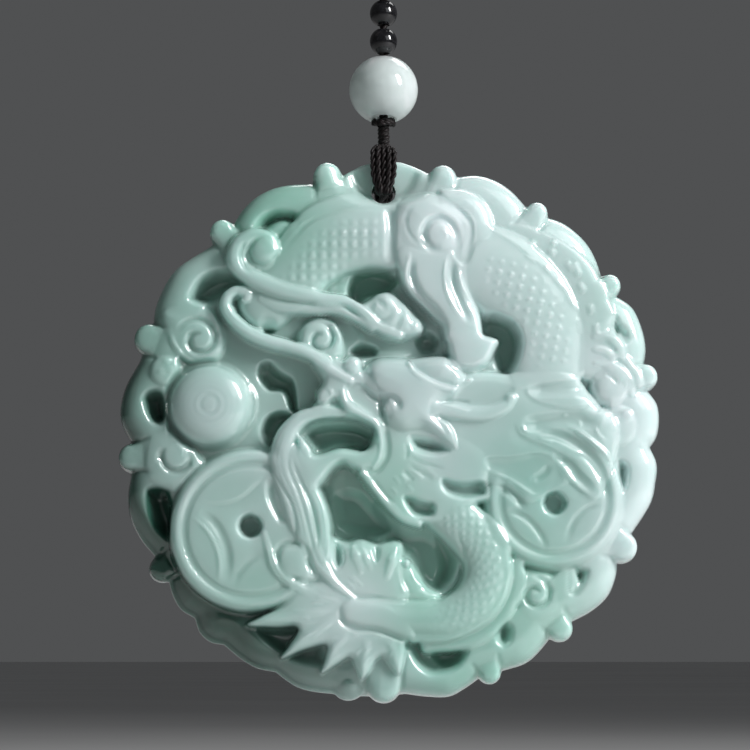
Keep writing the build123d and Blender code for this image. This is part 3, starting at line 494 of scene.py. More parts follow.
def carve_coins(k):
    """Two holed coins and the round flaming pearl."""
    k.disc((-51, -38), [(0, 70), (20, 71), (22.4, 70.5), (23.6, 66), (24.8, 66), (25.6, 70), (26.6, 72),
                        (27.4, 72), (28.4, 68), (29.4, 58), (31, 48)])
    k.lap([(-45, -17), (-50, -22.5), (-56, -27), (-63, -28.5), (-71, -27)], reach=7, depth=4, edge=1.2)
    k.lap([(-56.6, -59.6), (-54, -54), (-50, -49.6), (-45, -47.4)], reach=7, depth=4, edge=1.2)
    k.groove([(-69.5, -31), (-64, -35.5), (-60.4, -42), (-59, -49), (-59.6, -57.5)], half_width=2.4, depth=5)
    k.groove([(-72.5, -33), (-67, -38), (-63.6, -44), (-62.2, -50), (-62.4, -57)], half_width=1, depth=-3.5)
    k.groove([(-43.6, -19), (-43.8, -25), (-41.6, -31), (-38.5, -36)], half_width=2.2, depth=7)
    k.groove([(-45.4, -21), (-45.4, -26), (-43.6, -31), (-40.4, -36)], half_width=0.8, depth=-2.5)
    k.recess([(-46, -36.5), (-47.5, -33), (-51, -31.5), (-54.5, -33), (-56, -36.5), (-54.5, -40),
              (-51, -41.5), (-47.5, -40)], floor=44, wall=1.8)
    k.disc((60.5, -27), [(0, 67), (16, 68), (17.8, 67.5), (19, 63.5), (20.2, 63.5), (21.2, 67), (22.2, 69),
                         (23.2, 68), (24.2, 63), (27, 52)])
    k.groove([(43, -30.5), (50, -33.5), (55, -39), (58, -45)], half_width=1.8, depth=4.5)
    k.groove([(78, -28.5), (72, -30.6), (67.5, -35.5), (65, -43)], half_width=1.8, depth=3.5)
    k.recess([(65.7, -28), (64, -24.5), (61, -23), (57.5, -24.5), (56, -28), (57.5, -31.5), (61, -33),
              (64, -31.5)], floor=44, wall=1.8)
    k.disc((-66.2, 8.1), [(0, 88.4), (2, 88), (2.9, 86.4), (3.8, 86.8), (4.6, 87.6), (5.6, 86), (7, 85.6),
                          (9, 83.2), (11, 79.4), (12.4, 75), (13.4, 69.6), (14.2, 62.6), (14.9, 53),
                          (15.8, 47), (18, 44)])
    k.groove([(-52, 17), (-49.4, 11), (-49.6, 4.6), (-52.4, -1)], half_width=1, depth=-3)


def carve_ribbons(k):
    """The column of ribbons with its curl, and the snail-shaped cloud beside it."""
    k.recess([(33, 40), (37, 43.4), (42, 42.6), (47.5, 39.4), (50.4, 33), (49.4, 25.6), (46.4, 20),
              (42, 18.6), (39, 22), (37, 27), (33, 32)], floor=recess_floor + 9, wall=5)
    k.patch([(2.6, 64), (3, 57), (6, 50.5), (13, 43.5), (19, 37), (21, 31), (34, 31), (34, 41), (30.6, 47),
             (28.3, 54), (28, 64), (20, 68), (8, 68)], level=79, edge=3.2, crown=3)
    for path, half_width, depth in (
        ([(8.4, 62.5), (8.2, 56), (11, 49.5), (17, 43), (21.5, 36)], 2.2, 8),
        ([(23.4, 64), (23.4, 54), (26, 46.5), (30, 38)], 2.2, 7),
        ([(21, 62.5), (20.4, 55), (21.8, 48), (26, 40.5)], 0.9, -4),
        ([(25.4, 58.5), (26.6, 53), (29.4, 47.8), (33.4, 41.4)], 1.1, -5),
        ([(7.6, 64.5), (6.7, 59), (6.2, 54), (8, 50.4)], 1, -4),
    ):
        k.groove(path, half_width=half_width, depth=depth)
    k.patch([(21, 34), (28, 37), (34, 35), (41, 32.5), (39, 27), (36, 22.5), (29, 20), (23, 23)], level=80,
            edge=3, crown=3)
    # Curl over the top of the ribbons: a broad fold to the right, a coiled one to the left
    k.patch([(18, 87), (25, 88.4), (31.5, 86.6), (36.6, 81.4), (38.6, 74.6), (36, 69.6), (31.6, 66),
             (28.4, 60), (24, 62), (22, 72)], level=74, edge=5, crown=6)
    k.groove([(20, 80.6), (25.4, 80.4), (29.4, 77), (30.6, 71.4), (29.4, 65), (28, 59)], half_width=2.2,
             depth=3)
    k.groove([(24, 81.6), (28.4, 79.6), (31.2, 75.4), (31.4, 70), (30.4, 66.6)], half_width=0.9, depth=-3)
    k.patch([(2.4, 79), (2.8, 72.6), (6, 67.2), (12, 64.4), (19, 63.6), (24.6, 65.6), (28, 70.6), (27.6, 77),
             (23.6, 82.6), (17, 86.6), (9, 86.6), (4, 84)], level=79, edge=5, crown=8)
    for path, half_width, depth in (
        ([(25.6, 64.6), (24.6, 71), (22.4, 75), (18.6, 77), (14.8, 75.6), (12.8, 72), (13.4, 68.4), (16, 66),
          (19.4, 66.4)], 2.1, 8),
        ([(9.4, 82), (6.4, 78), (6.2, 73), (9, 69.2), (12.4, 66.9)], 1.5, 2.5),
        ([(12, 70.4), (13, 68.2), (15.4, 66.4)], 0.8, -4),
        ([(19.4, 72.8), (20.8, 71.4), (21.2, 69.4)], 0.8, -3),
        ([(5.4, 76), (6, 72), (8, 69)], 0.8, -2),
    ):
        k.groove(path, half_width=half_width, depth=depth)
    # Snail-shaped cloud
    k.patch([(-16.5, 48.6), (-12, 46), (-8, 47.5), (-4, 50.3), (0.3, 50.6), (5, 46.8), (9, 42.8),
             (12.8, 38.5), (12.4, 34.4), (8, 32.6), (2, 32), (-3, 33.5), (-8, 37.5), (-12, 42)], level=68,
            edge=5, crown=6)
    for path, half_width, depth in (
        (spiral((-3.6, 43.6), 5.2, 1.2, -1.15, 20), 1.8, 4.5),
        ([(2.2, 48), (4.4, 44), (3.6, 39), (1, 35.4)], 2, 3.5),
        ([(8, 42.4), (9, 39.4), (7.2, 35.6)], 1.6, 3),
        ([(0.4, 50.2), (4.6, 46.4), (8.6, 42.6)], 0.8, -5),
        ([(-7.6, 45.4), (-5.2, 46.6), (-4.4, 44)], 1, -3),
    ):
        k.groove(path, half_width=half_width, depth=depth)


def carve_tail(k):
    """The lower coil, its fins, the pointed tail and the small claw in the recess."""
    k.strand([(47, -50), (47, -58), (43, -67), (36, -75), (27, -79.5), (14, -80.5)], half_width=3, crest=62,
             squareness=2.4)
    # Fins that hang from the tail, and the ones that stand up behind it
    k.patch([(-28, -57), (-20, -58), (-13, -62), (0, -66), (10, -77), (6.6, -79.6), (5.8, -85), (4, -90.8),
             (0.8, -88.6), (-2.2, -84.8), (-5, -86), (-7.4, -90.4), (-10, -92.8), (-12.4, -88.4),
             (-14.4, -84.8), (-19, -87.4), (-25, -90.6), (-24, -85), (-23.4, -80.4), (-30, -82),
             (-40, -85.4), (-37.4, -80), (-34, -74), (-42, -74), (-52.6, -72.8), (-47, -69.2), (-40, -65.4),
             (-34, -60)], level=70, edge=2.6, crown=2)
    for path in (
        [(-49, -71.4), (-40, -70.4), (-30, -68.6), (-20, -66.4)], [(-37, -82.4), (-29, -76), (-20, -70)],
        [(-23.6, -88), (-20, -81), (-15, -75.6)], [(-9.8, -90), (-9, -83), (-8, -77.6)],
        [(3, -88), (1.4, -82), (0, -78.6)],
    ):
        k.groove(path, half_width=2, depth=-2.6)
    for start, end in (
        [(-25.6, -60.2), (-20, -61.6)], [(-28.6, -64.6), (-24, -65)], [(-33, -70), (-29, -70.4)],
        [(-31, -76.6), (-28.6, -76.2)], [(-27, -62.6), (-18, -64)], [(-36, -67.6), (-24, -67.4)],
        [(-40, -72), (-26, -71.4)], [(-33.6, -78.8), (-26, -74.6)], [(-29, -78.4), (-21, -72)],
        [(-21.6, -78.6), (-18.8, -77.4)], [(-21, -85.4), (-18.6, -83.6)], [(-12.4, -83.4), (-10, -81.4)],
        [(-8.8, -82.6), (-6.4, -81)], [(-8.8, -86.4), (-7.2, -84.4)], [(-0.4, -85), (0.8, -82.6)],
        [(-5.4, -76), (-2.4, -77.2)], [(-13.6, -76.4), (-11, -76.4)],
    ):
        k.groove(bent(start, end, up=0.2), half_width=0.7, depth=-2)
    k.patch([(-4, -50), (3, -47.4), (7.6, -48.6), (11, -53), (14, -58), (19, -61.8), (14, -66), (4, -66),
             (-4, -62)], level=60, edge=6)
    k.patch([(-31, -50), (-27, -43), (-22, -39.5), (-16, -41.5), (-10, -40.5), (-4, -42.5), (2, -41),
             (5.6, -43.4), (5, -50), (5, -56), (7, -61.4), (4, -66), (-8, -67), (-20, -64), (-28, -60)],
            level=70, edge=8)
    k.recess([(-21.6, -41), (-17.4, -41.5), (-15.6, -46), (-16.4, -51), (-19.4, -53), (-21.8, -48)],
             floor=47, wall=3.5)
    k.recess([(-6.6, -41.5), (-3.4, -42), (-2.6, -46), (-3.6, -49.6), (-5.4, -50), (-6.8, -46)], floor=54,
             wall=2.6)
    for path, half_width, crest in (
        ([(-13.2, -44), (-12.8, -46), (-11.8, -49), (-10.4, -53)], (1, 2, 1.2), (66, 74, 72)),
        ([(-10, -44.6), (-9.2, -47), (-8, -49.4), (-6.8, -52)], (0.8, 1.4, 0.8), (66, 73.5, 71)),
        ([(2.6, -44.6), (1.6, -47.4), (0.4, -51), (-0.8, -55)], (1, 2, 1.2), (66, 75, 72)),
    ):
        k.strand(path, half_width=half_width, crest=crest)
    for start, end in (
        [(-15, -54.8), (-12, -57.6)], [(-13.8, -54.6), (-11, -57.4)], [(-11.6, -57), (-10, -58.6)],
        [(-15.6, -57), (-12.6, -59.6)], [(-19.6, -57.4), (-16.4, -59)], [(-20, -59), (-15, -61.4)],
    ):
        k.groove(bent(start, end, across=0.2), half_width=0.6, depth=-2)
    # Body
    k.strand([(19, -29), (28, -37), (35, -46), (36, -56), (31, -65), (21, -70.6), (9, -71), (-3, -69),
              (-13.5, -67.6)], half_width=(9, 9.5, 9.4, 9.2, 9, 8, 7.2, 6, 4.4), crest=(76, 80, 81, 80, 78),
             squareness=2.2)
    k.groove([(-13, -63.4), (-7, -62.6), (0, -63.6), (6, -64.4)], half_width=1.2, depth=3)
    k.groove([(-17.6, -66.6), (-17.4, -71), (-13, -74), (-5, -74.4), (2, -77), (9, -80)], half_width=1.7,
             depth=6)
    k.strand([(41, -45), (42.4, -54), (39.4, -64), (31.6, -72), (21, -76.8), (9, -77.6)], half_width=2.2,
             crest=73)
    k.groove([(24.6, -38), (27.4, -48), (24, -58.6), (17, -64)], half_width=1, depth=3)
    k.crossed_scales([(19, -29), (28, -37), (35, -46), (36, -56), (31, -65), (21, -71), (9, -72)],
                     half_width=7.5, pitch=4.2, rise=2, length=66)
    # Claw in the recess
    k.groove([(3, -51), (3.8, -56), (5, -59.6), (7.4, -62.4)], half_width=1.1, depth=-2.5)
    k.groove([(8, -52), (9, -55.5), (11, -57.6), (14.4, -58.2)], half_width=0.9, depth=-2.5)
    k.groove([(10.4, -50.6), (11.5, -54), (12.8, -57)], half_width=0.8, depth=-2)
    k.strand([(6.4, -49.9), (6.3, -50.1)], half_width=1.7, crest=68)


def carve_mane(k):
    """Locks of the mane that sweep back from the head and over the right coin."""
    k.patch([(18, 20), (34, 20.8), (48, 20), (58, 20), (66, 19.5), (72, 16), (77, 9), (84, 2), (84, -8),
             (80, -20), (75, -27), (66, -21), (56, -26), (50, -28), (42, -22), (30, -21), (20, -18),
             (14, -6), (14, 12)], level=74, edge=7)
    # Hollows between the locks
    k.groove([(51, 13.6), (57, 13.6), (64, 14), (70, 14), (77, 12)], half_width=3.6, depth=8)
    k.groove([(49, 0.6), (55, 1.5), (62, 2.6), (70, 2.6), (78, 1)], half_width=3.8, depth=10)
    k.groove([(52, -1.6), (60, -2.6), (67, -5.5), (73, -10), (78, -17), (80.6, -27)], half_width=2.8,
             depth=8)
    k.groove([(60, -10.5), (66, -14), (70, -19), (77, -25)], half_width=3, depth=8)
    k.patch([(35.5, -11.5), (46, -11), (53, -9.6), (60, -11.6), (64, -19), (62, -24), (54, -25), (48, -22),
             (42, -18.6), (36, -16)], level=68, edge=3.5)
    k.groove([(59, -14.5), (56.5, -17.5), (53, -19.6)], half_width=2, depth=4)
    k.groove([(41, -22.6), (45, -25), (50, -30)], half_width=2, depth=6)
    # Edges of the locks
    for path in (
        [(72, 17.6), (66, 17.4), (58, 15.8), (50, 14.6), (44, 14)],
        [(77, 9.8), (72, 7.6), (66, 7), (60, 7.8), (54, 9.6), (51, 12), (50.2, 14.6)],
        [(69.5, -12.8), (64, -10.6), (59, -7.6), (52, -4.8), (48, -2.4), (46.6, 1.4)],
        [(79, -21), (76, -15.4), (72, -10.8), (66, -8.4)],
        [(75.5, -26.2), (70, -23), (66, -19), (63.6, -14.8), (60.6, -11.6)],
        [(53, -26), (49, -23), (45, -20.2), (40, -17.8), (35.6, -15.6), (34, -12.4)],
    ):
        k.lap(path, reach=5, depth=4.5, edge=0.9)
        k.groove(path, half_width=1, depth=-2)
    k.groove([(64, 1.2), (70, -2), (76, -6.6), (80.4, -11), (83.4, -17), (85.4, -26)], half_width=1.1,
             depth=-6)
    k.groove([(68.5, -2), (73, -4.4), (78, -8.6)], half_width=0.6, depth=-3)
    for path in (
        [(49, 0.4), (49.6, -1.4), (51.6, -2.6)], [(54.6, -4.2), (60, -5.6)], [(43, -23.4), (47.4, -28)],
        [(69.4, 2.4), (70.6, 0.2)], [(63.6, 4.4), (65.6, 4)], [(75.4, 0.4), (77, -3.2), (80, -5.6)],
    ):
        k.groove(path, half_width=0.8, depth=-3)


def carve_head(k):
    """Skull, cheek and beard, brow, horn, snout, and the jaw that runs down as hair."""
    # Neck and beard under the cheek, down to the lower coil
    k.patch([(-16, -13), (-8, -7), (-4, 3.6), (6, 4), (20, -2), (30, -6), (36, -12), (36, -19), (36, -27),
             (26, -30), (18, -35), (10, -36), (2, -33), (-5, -25), (-11, -17)], level=75, edge=3.5, crown=2)
    for outline in (
        [(4.5, -26), (8, -25), (12, -26.6), (17, -28), (17, -32.6), (13, -34), (8, -32.6)],
        [(19, -18.5), (27, -19.6), (35, -19.6), (35.6, -25.6), (27, -27), (20, -24)],
    ):
        k.recess(outline, floor=50, wall=2.6)
    # Upper jaw and snout
    k.patch([(-31, 27), (-25, 24.5), (-18, 25), (-10, 22), (-5, 15), (-2, 6), (-1.5, -2), (-6, -1), (-12, 2),
             (-22, 3), (-29, 1.5), (-35, -1), (-36, 3), (-29, 6), (-20, 6), (-19, 9), (-26, 8.5), (-27, 13),
             (-25, 17), (-28, 22)], level=80, edge=3, crown=2)
    k.patch([(-16, 15), (-10, 16), (-6, 13), (-3, 9), (-3, 4), (-6, 3.5), (-11, 6.5), (-15, 10)], level=73,
            edge=3)
    k.groove([(-11, 15), (-7.5, 12.5), (-4, 9)], half_width=1.3, depth=4)
    # Lower jaw
    k.patch([(-32, -5), (-27, -9.5), (-18, -7.2), (-9, -8.2), (-5, -6), (-3, -9), (-5, -14), (-9, -16.5),
             (-13, -16), (-17, -14.3), (-21, -17), (-25, -22), (-30, -24), (-36, -16), (-36, -8)], level=78,
            edge=3, crown=3)
    k.patch([(-34, -2.5), (-31.5, -3.8), (-28, -8.5), (-29.5, -11), (-33, -8)], level=82, edge=1.6)
    # Lip from the nose round the corner of the mouth
    k.strand([(-17.2, 13), (-16.6, 9.5), (-14, 6.6), (-10, 4.4), (-6, 2.2), (-3.8, -1), (-3.1, -6),
              (-3.6, -11), (-6, -15.2)], half_width=(0.8, 1.6, 1.3, 1.1, 0.9), crest=(84, 89, 87, 83, 79))
    k.groove([(-2.6, 1.5), (-1.2, -3), (-0.6, -8), (-1.6, -12.5), (-5, -16.4), (-9.5, -15.3)],
             half_width=1.8, depth=5)
    k.strand([(-26, 7.4), (-22, 7.2), (-19, 7.6)], half_width=2.6, crest=72)
    # Skull, brow and cheek as one smooth form
    k.patch([(-9.5, 20), (-8, 23.5), (-4, 25.7), (2, 26), (8, 25.7), (16, 26.5), (22, 26), (27, 21),
             (28.5, 16.5), (26, 12.5), (20, 9.6), (18, 5), (21, 0), (24.4, -7.6), (19, -4.3), (12, -1.2),
             (5, -1.8), (0.5, 0), (-2.3, 3.6), (-3.6, 9), (-8, 14)], level=84, edge=4.5, crown=10)
    k.lap([(5.5, 27), (7.3, 23.6), (9.3, 20.4), (14, 17.2), (19, 15), (25, 14), (30, 17.8)], reach=9,
          depth=12, edge=0.8)
    k.strand([(17.8, 2.8), (21, 0), (23.2, -4), (24.4, -8)], half_width=(0.9, 1.3, 0.6), crest=(82, 85, 80))
    k.strand([(7.2, 23.5), (9.5, 20), (14, 16.8), (19, 14.6), (25, 13.6), (29.5, 17.2)],
             half_width=(0.8, 1.3, 1.4, 0.8), crest=(93, 95, 91, 85))
    # Eye under its heavy lid
    k.groove([(-9, 13.4), (-4, 10.4), (0.5, 10.7), (3.2, 8.6), (3, 5.4)], half_width=1.9, depth=6.5)
    k.groove([(-4.4, 10), (-3, 6.5), (-2.2, 3), (0, 0.6)], half_width=1.6, depth=6)
    k.strand([(-0.3, 6.5), (-0.1, 6.3)], half_width=2.2, crest=88)
    # Horn and the sunk lock over it
    k.patch([(26, 15.5), (32, 17.5), (40, 17.3), (46, 14.5), (44, 11), (36, 8.6), (28, 8.6), (24, 10)],
            level=71, edge=2.2)
    k.strand([(16, 6.4), (22, 5.8), (30, 4.6), (37, 5), (42.5, 7.4), (45.4, 10.6)],
             half_width=(2.4, 3, 3, 2.6, 1.6), crest=(87, 85, 83, 81), squareness=2.4)
    k.groove([(18.4, 8.4), (23, 7.2), (30, 5.2)], half_width=0.9, depth=-3)
    k.groove([(20, 9.6), (25, 9.4), (30, 8.9)], half_width=1, depth=6)
    k.strand([(44.6, 10.4), (44.8, 10.2)], half_width=1.8, crest=83)
    # Nose ball, knob and the whisker's root
    k.strand([(-31, 27.5), (-25, 23.3), (-20, 20), (-14.5, 16.8)], half_width=(1.4, 2.3, 1.6),
             crest=(82, 90, 86))
    k.strand([(-13.4, 23), (-13.2, 23)], half_width=3.6, crest=88, squareness=2.4)
    k.strand([(-24.3, 10.5), (-24.1, 10.3)], half_width=2.6, crest=83)
    k.groove([(-22.5, 14), (-21.2, 12.4), (-21.6, 10.4), (-23.4, 9.4)], half_width=0.9, depth=-4)
    # Beard
    for path in (
        [(5.8, -6), (6.6, -9), (6.2, -12.2)], [(7.5, -7.6), (12, -9.4), (20, -10.4)],
        [(7, -11), (12, -13.4), (20, -15.6)], [(7, -14), (11, -16.6), (16, -19.5)], [(5, -16), (9, -20)],
    ):
        k.groove(path, half_width=1, depth=3)
    k.recess([(7, -3), (14, -3), (20, -5), (23, -9.4), (16, -11.4), (8.6, -9)], floor=44, wall=4.5)
    for start, end in (
        [(1.6, -18.4), (4, -21.6)], [(4, -17.6), (6.4, -20.4)], [(8.6, -16.4), (12.4, -19.6)],
        [(13, -15.6), (17.6, -18.6)], [(0.4, -22.4), (3, -25)], [(6.4, -21.6), (9, -24.4)],
    ):
        k.groove(bent(start, end, up=0.2), half_width=0.7, depth=-2)
    k.strand([(-10, -17), (-5.5, -22.5), (-0.5, -28.6), (5, -33.8), (11, -36)], half_width=(1.6, 2, 1.6),
             crest=(80, 79, 76))
    k.groove([(-6, -19.5), (-2.6, -24), (1.6, -28.6)], half_width=1.1, depth=4)
    # The jaw's loop, which runs down as hair over the left coin
    k.strand([(-18, 5), (-27, 5), (-34, 1.8), (-38.5, -5), (-38.5, -14), (-35, -24), (-32, -34),
              (-29.4, -42), (-25.4, -50), (-20, -57.6), (-13, -63)],
             half_width=(2, 3.2, 4.6, 5.2, 5.4, 4, 2, 0.8), crest=(80, 82, 79, 73), squareness=2.6)
    k.strand([(-30, -20), (-26.5, -28), (-24.5, -36), (-24.2, -45), (-24.4, -51)], half_width=(2.4, 3, 2),
             crest=(77, 76, 72))
    for path in (
        [(-43.4, -15.2), (-40, -21.5), (-36, -28.5), (-34.4, -36), (-34.6, -43)],
        [(-37.2, -9), (-36.6, -16), (-33, -25), (-30.4, -34), (-28.4, -42), (-26.4, -49), (-21, -55.6)],
        [(-35.4, -12), (-33.6, -18), (-29, -28), (-26.6, -38), (-26, -46)],
        [(-25.5, -23.6), (-22.6, -28), (-21.3, -36), (-22, -46)],
    ):
        k.groove(path, half_width=1, depth=3.5)
    for path in (
        [(-41.6, -12), (-39.6, -20), (-36, -28), (-33.6, -36), (-33, -42)],
        [(-40, -8), (-39.4, -16), (-35.6, -25), (-32.4, -34), (-31, -41.6)],
        [(-38.6, -2), (-41, -8), (-41.4, -14)], [(-34, -14), (-31, -22.6), (-28, -31), (-26.4, -40)],
        [(-28.4, -22), (-25.6, -29), (-24, -37), (-24, -45)],
        [(-26.8, -22.4), (-24, -28.6), (-22.6, -36), (-23, -44)],
    ):
        k.groove(path, half_width=0.6, depth=1.6)
    k.groove([(-27.6, -42), (-27, -48.6), (-22.4, -54.4), (-15, -61)], half_width=0.8, depth=-2)
    k.groove([(-21.6, -28), (-21.2, -36), (-22, -44), (-23, -49)], half_width=0.9, depth=-3)
    # Square knob of hair at the left coin's edge
    k.patch([(-40.6, -48), (-39.4, -45), (-36, -44), (-32, -44.2), (-30.6, -46.6), (-29.8, -50.4),
             (-28.6, -54.4), (-30, -55.8), (-34, -55.8), (-37.6, -54.8), (-39.8, -52)], level=75, edge=1.8,
            crown=2)
    k.groove([(-30.8, -42.8), (-34.6, -42.6), (-39, -43.4), (-41.6, -47), (-40.8, -52.4), (-37.4, -56.4)],
             half_width=1.5, depth=5)
    k.groove([(-31.6, -42.6), (-29.6, -46.6), (-28.6, -50.6), (-27.2, -55.4)], half_width=1.3, depth=5)
    k.groove([(-38, -56.8), (-33, -57.6), (-27.4, -56.4)], half_width=1.3, depth=4)
    k.strand([(-46, -39), (-44, -46), (-42, -51), (-39, -55), (-34.6, -58.4), (-28, -61.6)],
             half_width=(1, 2, 2.2, 1.4), crest=(73, 75, 75, 72))
    k.groove([(-43.6, -43), (-41.8, -50.6), (-38.6, -55.4), (-35, -57.6)], half_width=0.7, depth=-2)
    k.groove([(-45, -43), (-43.4, -50.6), (-40.4, -56)], half_width=0.7, depth=-2)


def carve_whiskers(k):
    """Two long whiskers with curled ends."""
    k.patch([(-54.4, 64), (-53, 69), (-48, 70.8), (-43, 69), (-41.4, 64.4), (-43, 59.6), (-47.6, 57.6),
             (-52.4, 59)], level=72, edge=3)
    k.strand([(-47, 47.4), (-41, 44.5), (-31, 43.4), (-20, 43.4), (-13, 40.5), (-6, 36)],
             half_width=(1.6, 2.4, 2, 1.2), crest=(72, 76, 76, 74), squareness=2.6)
    k.strand([(4, 33.6), (-4, 37), (-9, 41.8), (-15.5, 46.3), (-26, 47.6), (-38, 50), (-47.5, 53.6),
              (-54.6, 57.6), (-57, 62.6), (-55.4, 67.8), (-50, 71), (-44.4, 69.6), (-42.4, 65.6)],
             half_width=(1.6, 2.2, 2.4, 3, 3.4, 3.8, 3.4, 3, 2.4), crest=(72, 78, 82, 84, 84, 84, 82, 78),
             squareness=2.6)
    k.groove([(-53.2, 68.6), (-54.6, 64), (-53.6, 59.6), (-50.6, 57)], half_width=1.1, depth=6)
    k.groove([(-3.5, 38.8), (-9.5, 43.4), (-15.5, 47.6)], half_width=0.8, depth=-3)
    k.strand([(-46.6, 65.2), (-46.4, 64.8)], half_width=4.6, crest=83, squareness=2.4)
    k.groove([(-43, 60.8), (-47.4, 60), (-50.8, 62), (-51.4, 65.4), (-49.6, 68.6), (-46, 69.6)],
             half_width=1.3, depth=4)
    k.strand([(-23, 23.5), (-28, 26.3), (-36, 29.4), (-45, 31.8), (-52, 35), (-57.4, 39.6), (-60.4, 44.4),
              (-59.6, 48.4), (-56.2, 50.6), (-52.8, 49.6), (-53, 47.6)],
             half_width=(2.2, 2.9, 2.9, 2.5, 1.9), crest=(84, 81, 77, 73), squareness=2.4)
    k.groove([(-60.6, 46.6), (-59.6, 42), (-55, 37.4), (-48, 33.8), (-40, 31)], half_width=0.9, depth=2.5)
    k.strand([(-58, 44.5), (-56, 39.5), (-51.5, 36.4), (-47, 35.6)], half_width=1.1, crest=64)


def carve_cord_seat(k):
    """A low fan round the cord hole, where the disc swings under the cord's legs."""
    k.recess([(-8, 81), (4, 81), (14, 85), (19, 94), (19, 108), (-23, 108), (-23, 94), (-18, 85)],
             floor=seat_level + 6, wall=7)
    k.recess([(-5, 82.5), (1, 82.5), (9, 87), (13, 96), (12, 105), (-16, 105), (-17, 96), (-13, 87)],
             floor=seat_level, wall=4)


# Levels as first drawn, and as they stand in the shallower carving, blended over a few hundredths
DRAWN_LEVELS = (0, 10, 30, 45, 60, 75, 100, 120)
CARVED_LEVELS = (23, 24, 34, 56, 68.5, 76, 91, 103)
blend = 5


def carved_level(across, up):
    """Level of the carved face at places across and up the disc."""
    k = Relief(across, up)
    for carve in (carve_rim, carve_recesses, carve_clouds, carve_body, carve_coins, carve_ribbons,
                  carve_tail, carve_mane, carve_head, carve_whiskers):
        carve(k)
    drawn = np.arange(-blend, DRAWN_LEVELS[-1] + blend + 1)
    window = np.ones(2 * blend + 1) / (2 * blend + 1)
    carved = np.convolve(np.interp(drawn, DRAWN_LEVELS, CARVED_LEVELS), window, "valid")
    k.level = np.interp(k.level, drawn[blend:-blend], carved)
    carve_cord_seat(k)
    return k.level


# How far the relief reaches, how often it is softened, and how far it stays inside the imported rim
relief_reach = 104
softenings = 2
rim_clearance = 0.04


def disc_map(rows):
    """A square net of places laid smoothly over the disc, out to its scalloped rim."""
    a, b = np.meshgrid(np.linspace(-1, 1, rows + 1), np.linspace(-1, 1, rows + 1), indexing="ij")
    wide = np.abs(a) > np.abs(b)
    safe_a = np.where(a == 0, 1, a)
    safe_b = np.where(b == 0, 1, b)
    reach = np.where(wide, a, b)
    angle = np.where(wide, np.pi / 4 * b / safe_a, np.pi / 2 - np.pi / 4 * a / safe_b)
    angle = np.where(reach < 0, angle + np.pi, angle)
    share = np.abs(reach)
    rim = rim_reach(np.arctan2(np.sin(angle), np.cos(angle))) - rim_clearance
    far = share * (plain_radius + (rim - plain_radius) * share ** 6)
    return far * np.cos(angle), far * np.sin(angle)


def mesh_object(name, points, faces, material):
    """A new smooth object from points and faces."""
    mesh = bpy.data.meshes.new(name)
    mesh.from_pydata([tuple(p) for p in points], [], faces)
    mesh.validate()
    mesh.update()
    mesh.polygons.foreach_set("use_smooth", [True] * len(mesh.polygons))
    piece = bpy.data.objects.new(name, mesh)
    bpy.context.scene.collection.objects.link(piece)
    mesh.materials.append(material)
    return piece


def place(across, up, level):
    """Points of the model at places across and up the disc and levels over its back."""
    x = disc_centre_x + across / 100 * jade_radius
    y = back_y - level / 100 * jade_thickness
    z = disc_centre_z + up / 100 * jade_radius
    return np.stack([x, y, z], -1)


class Carving:
    """The relief on a fine square net, softened a little, with its slopes."""

    def __init__(self, pitch):
        self.pitch = pitch
        self.reach = math.ceil(relief_reach / pitch) * pitch
        ticks = np.arange(-self.reach, self.reach + pitch / 2, pitch)
        across, up = np.meshgrid(ticks, ticks, indexing="ij")
        level = carved_level(across.ravel(), up.ravel()).reshape(across.shape)
        for _ in range(softenings):
            for axis in (0, 1):
                level = (np.roll(level, 1, axis) + 2 * level + np.roll(level, -1, axis)) / 4
        self.level = level
        self.slope_across, self.slope_up = np.gradient(level * jade_thickness / jade_radius, pitch)

    def sample(self, field, across, up):
        """A field of the net between its points."""
        last = field.shape[0] - 2
        i = np.clip((across + self.reach) / self.pitch, 0, last + 0.999)
        j = np.clip((up + self.reach) / self.pitch, 0, last + 0.999)
        low_i = i.astype(int)
        low_j = j.astype(int)
        i -= low_i
        j -= low_j
        near = field[low_i, low_j] * (1 - j) + field[low_i, low_j + 1] * j
        far = field[low_i + 1, low_j] * (1 - j) + field[low_i + 1, low_j + 1] * j
        return near * (1 - i) + far * i


def make_jade(rows, pitch, material):
    """The carved disc: a fine net in front, a rounded edge, a flat back and the cord hole."""
    carving = Carving(pitch)
    across, up = disc_map(rows)
    level = carving.sample(carving.level, across, up)
    for side in (level[0], level[-1], level[:, 0], level[:, -1]):
        side[:] = edge_level
    net = place(across, up, level)
    points = list(net.reshape(-1, 3))
    wide = rows + 1
    faces = []
    for start in range(0, rows * wide, wide):
        for a in range(start, start + rows):
            faces.append((a, a + wide, a + wide + 1, a + 1))
    walk = [(i, 0) for i in range(rows)] + [(rows, j) for j in range(rows)]
    walk += [(i, rows) for i in range(rows, 0, -1)] + [(0, j) for j in range(rows, 0, -1)]
    ring = [i * wide + j for i, j in walk]
    rim = np.array([net[p] for p in walk])
    centre = np.array([disc_centre_x, 0, disc_centre_z])
    count = len(ring)
    for turn in np.linspace(0, np.pi / 2, 5):
        loop = centre + (rim - centre) * (1 - jade_back_round * (1 - np.cos(turn)) / jade_radius)
        loop[:, 1] = back_y - jade_back_round * (1 - np.sin(turn))
        following = [len(points) + k for k in range(count)]
        points += list(loop)
        for k in range(count):
            n = (k + 1) % count
            faces.append((ring[k], following[k], following[n], ring[n]))
        ring = following
    hub = len(points)
    points.append(np.array([disc_centre_x, back_y, disc_centre_z]))
    for k in range(count):
        faces.append((ring[(k + 1) % count], ring[k], hub))
    piece = mesh_object("jade_carving", points, faces, material)
    drill(piece, (0, 0, hole_centre), cord_hole_radius)
    shade_carving(piece, carving)
    return piece


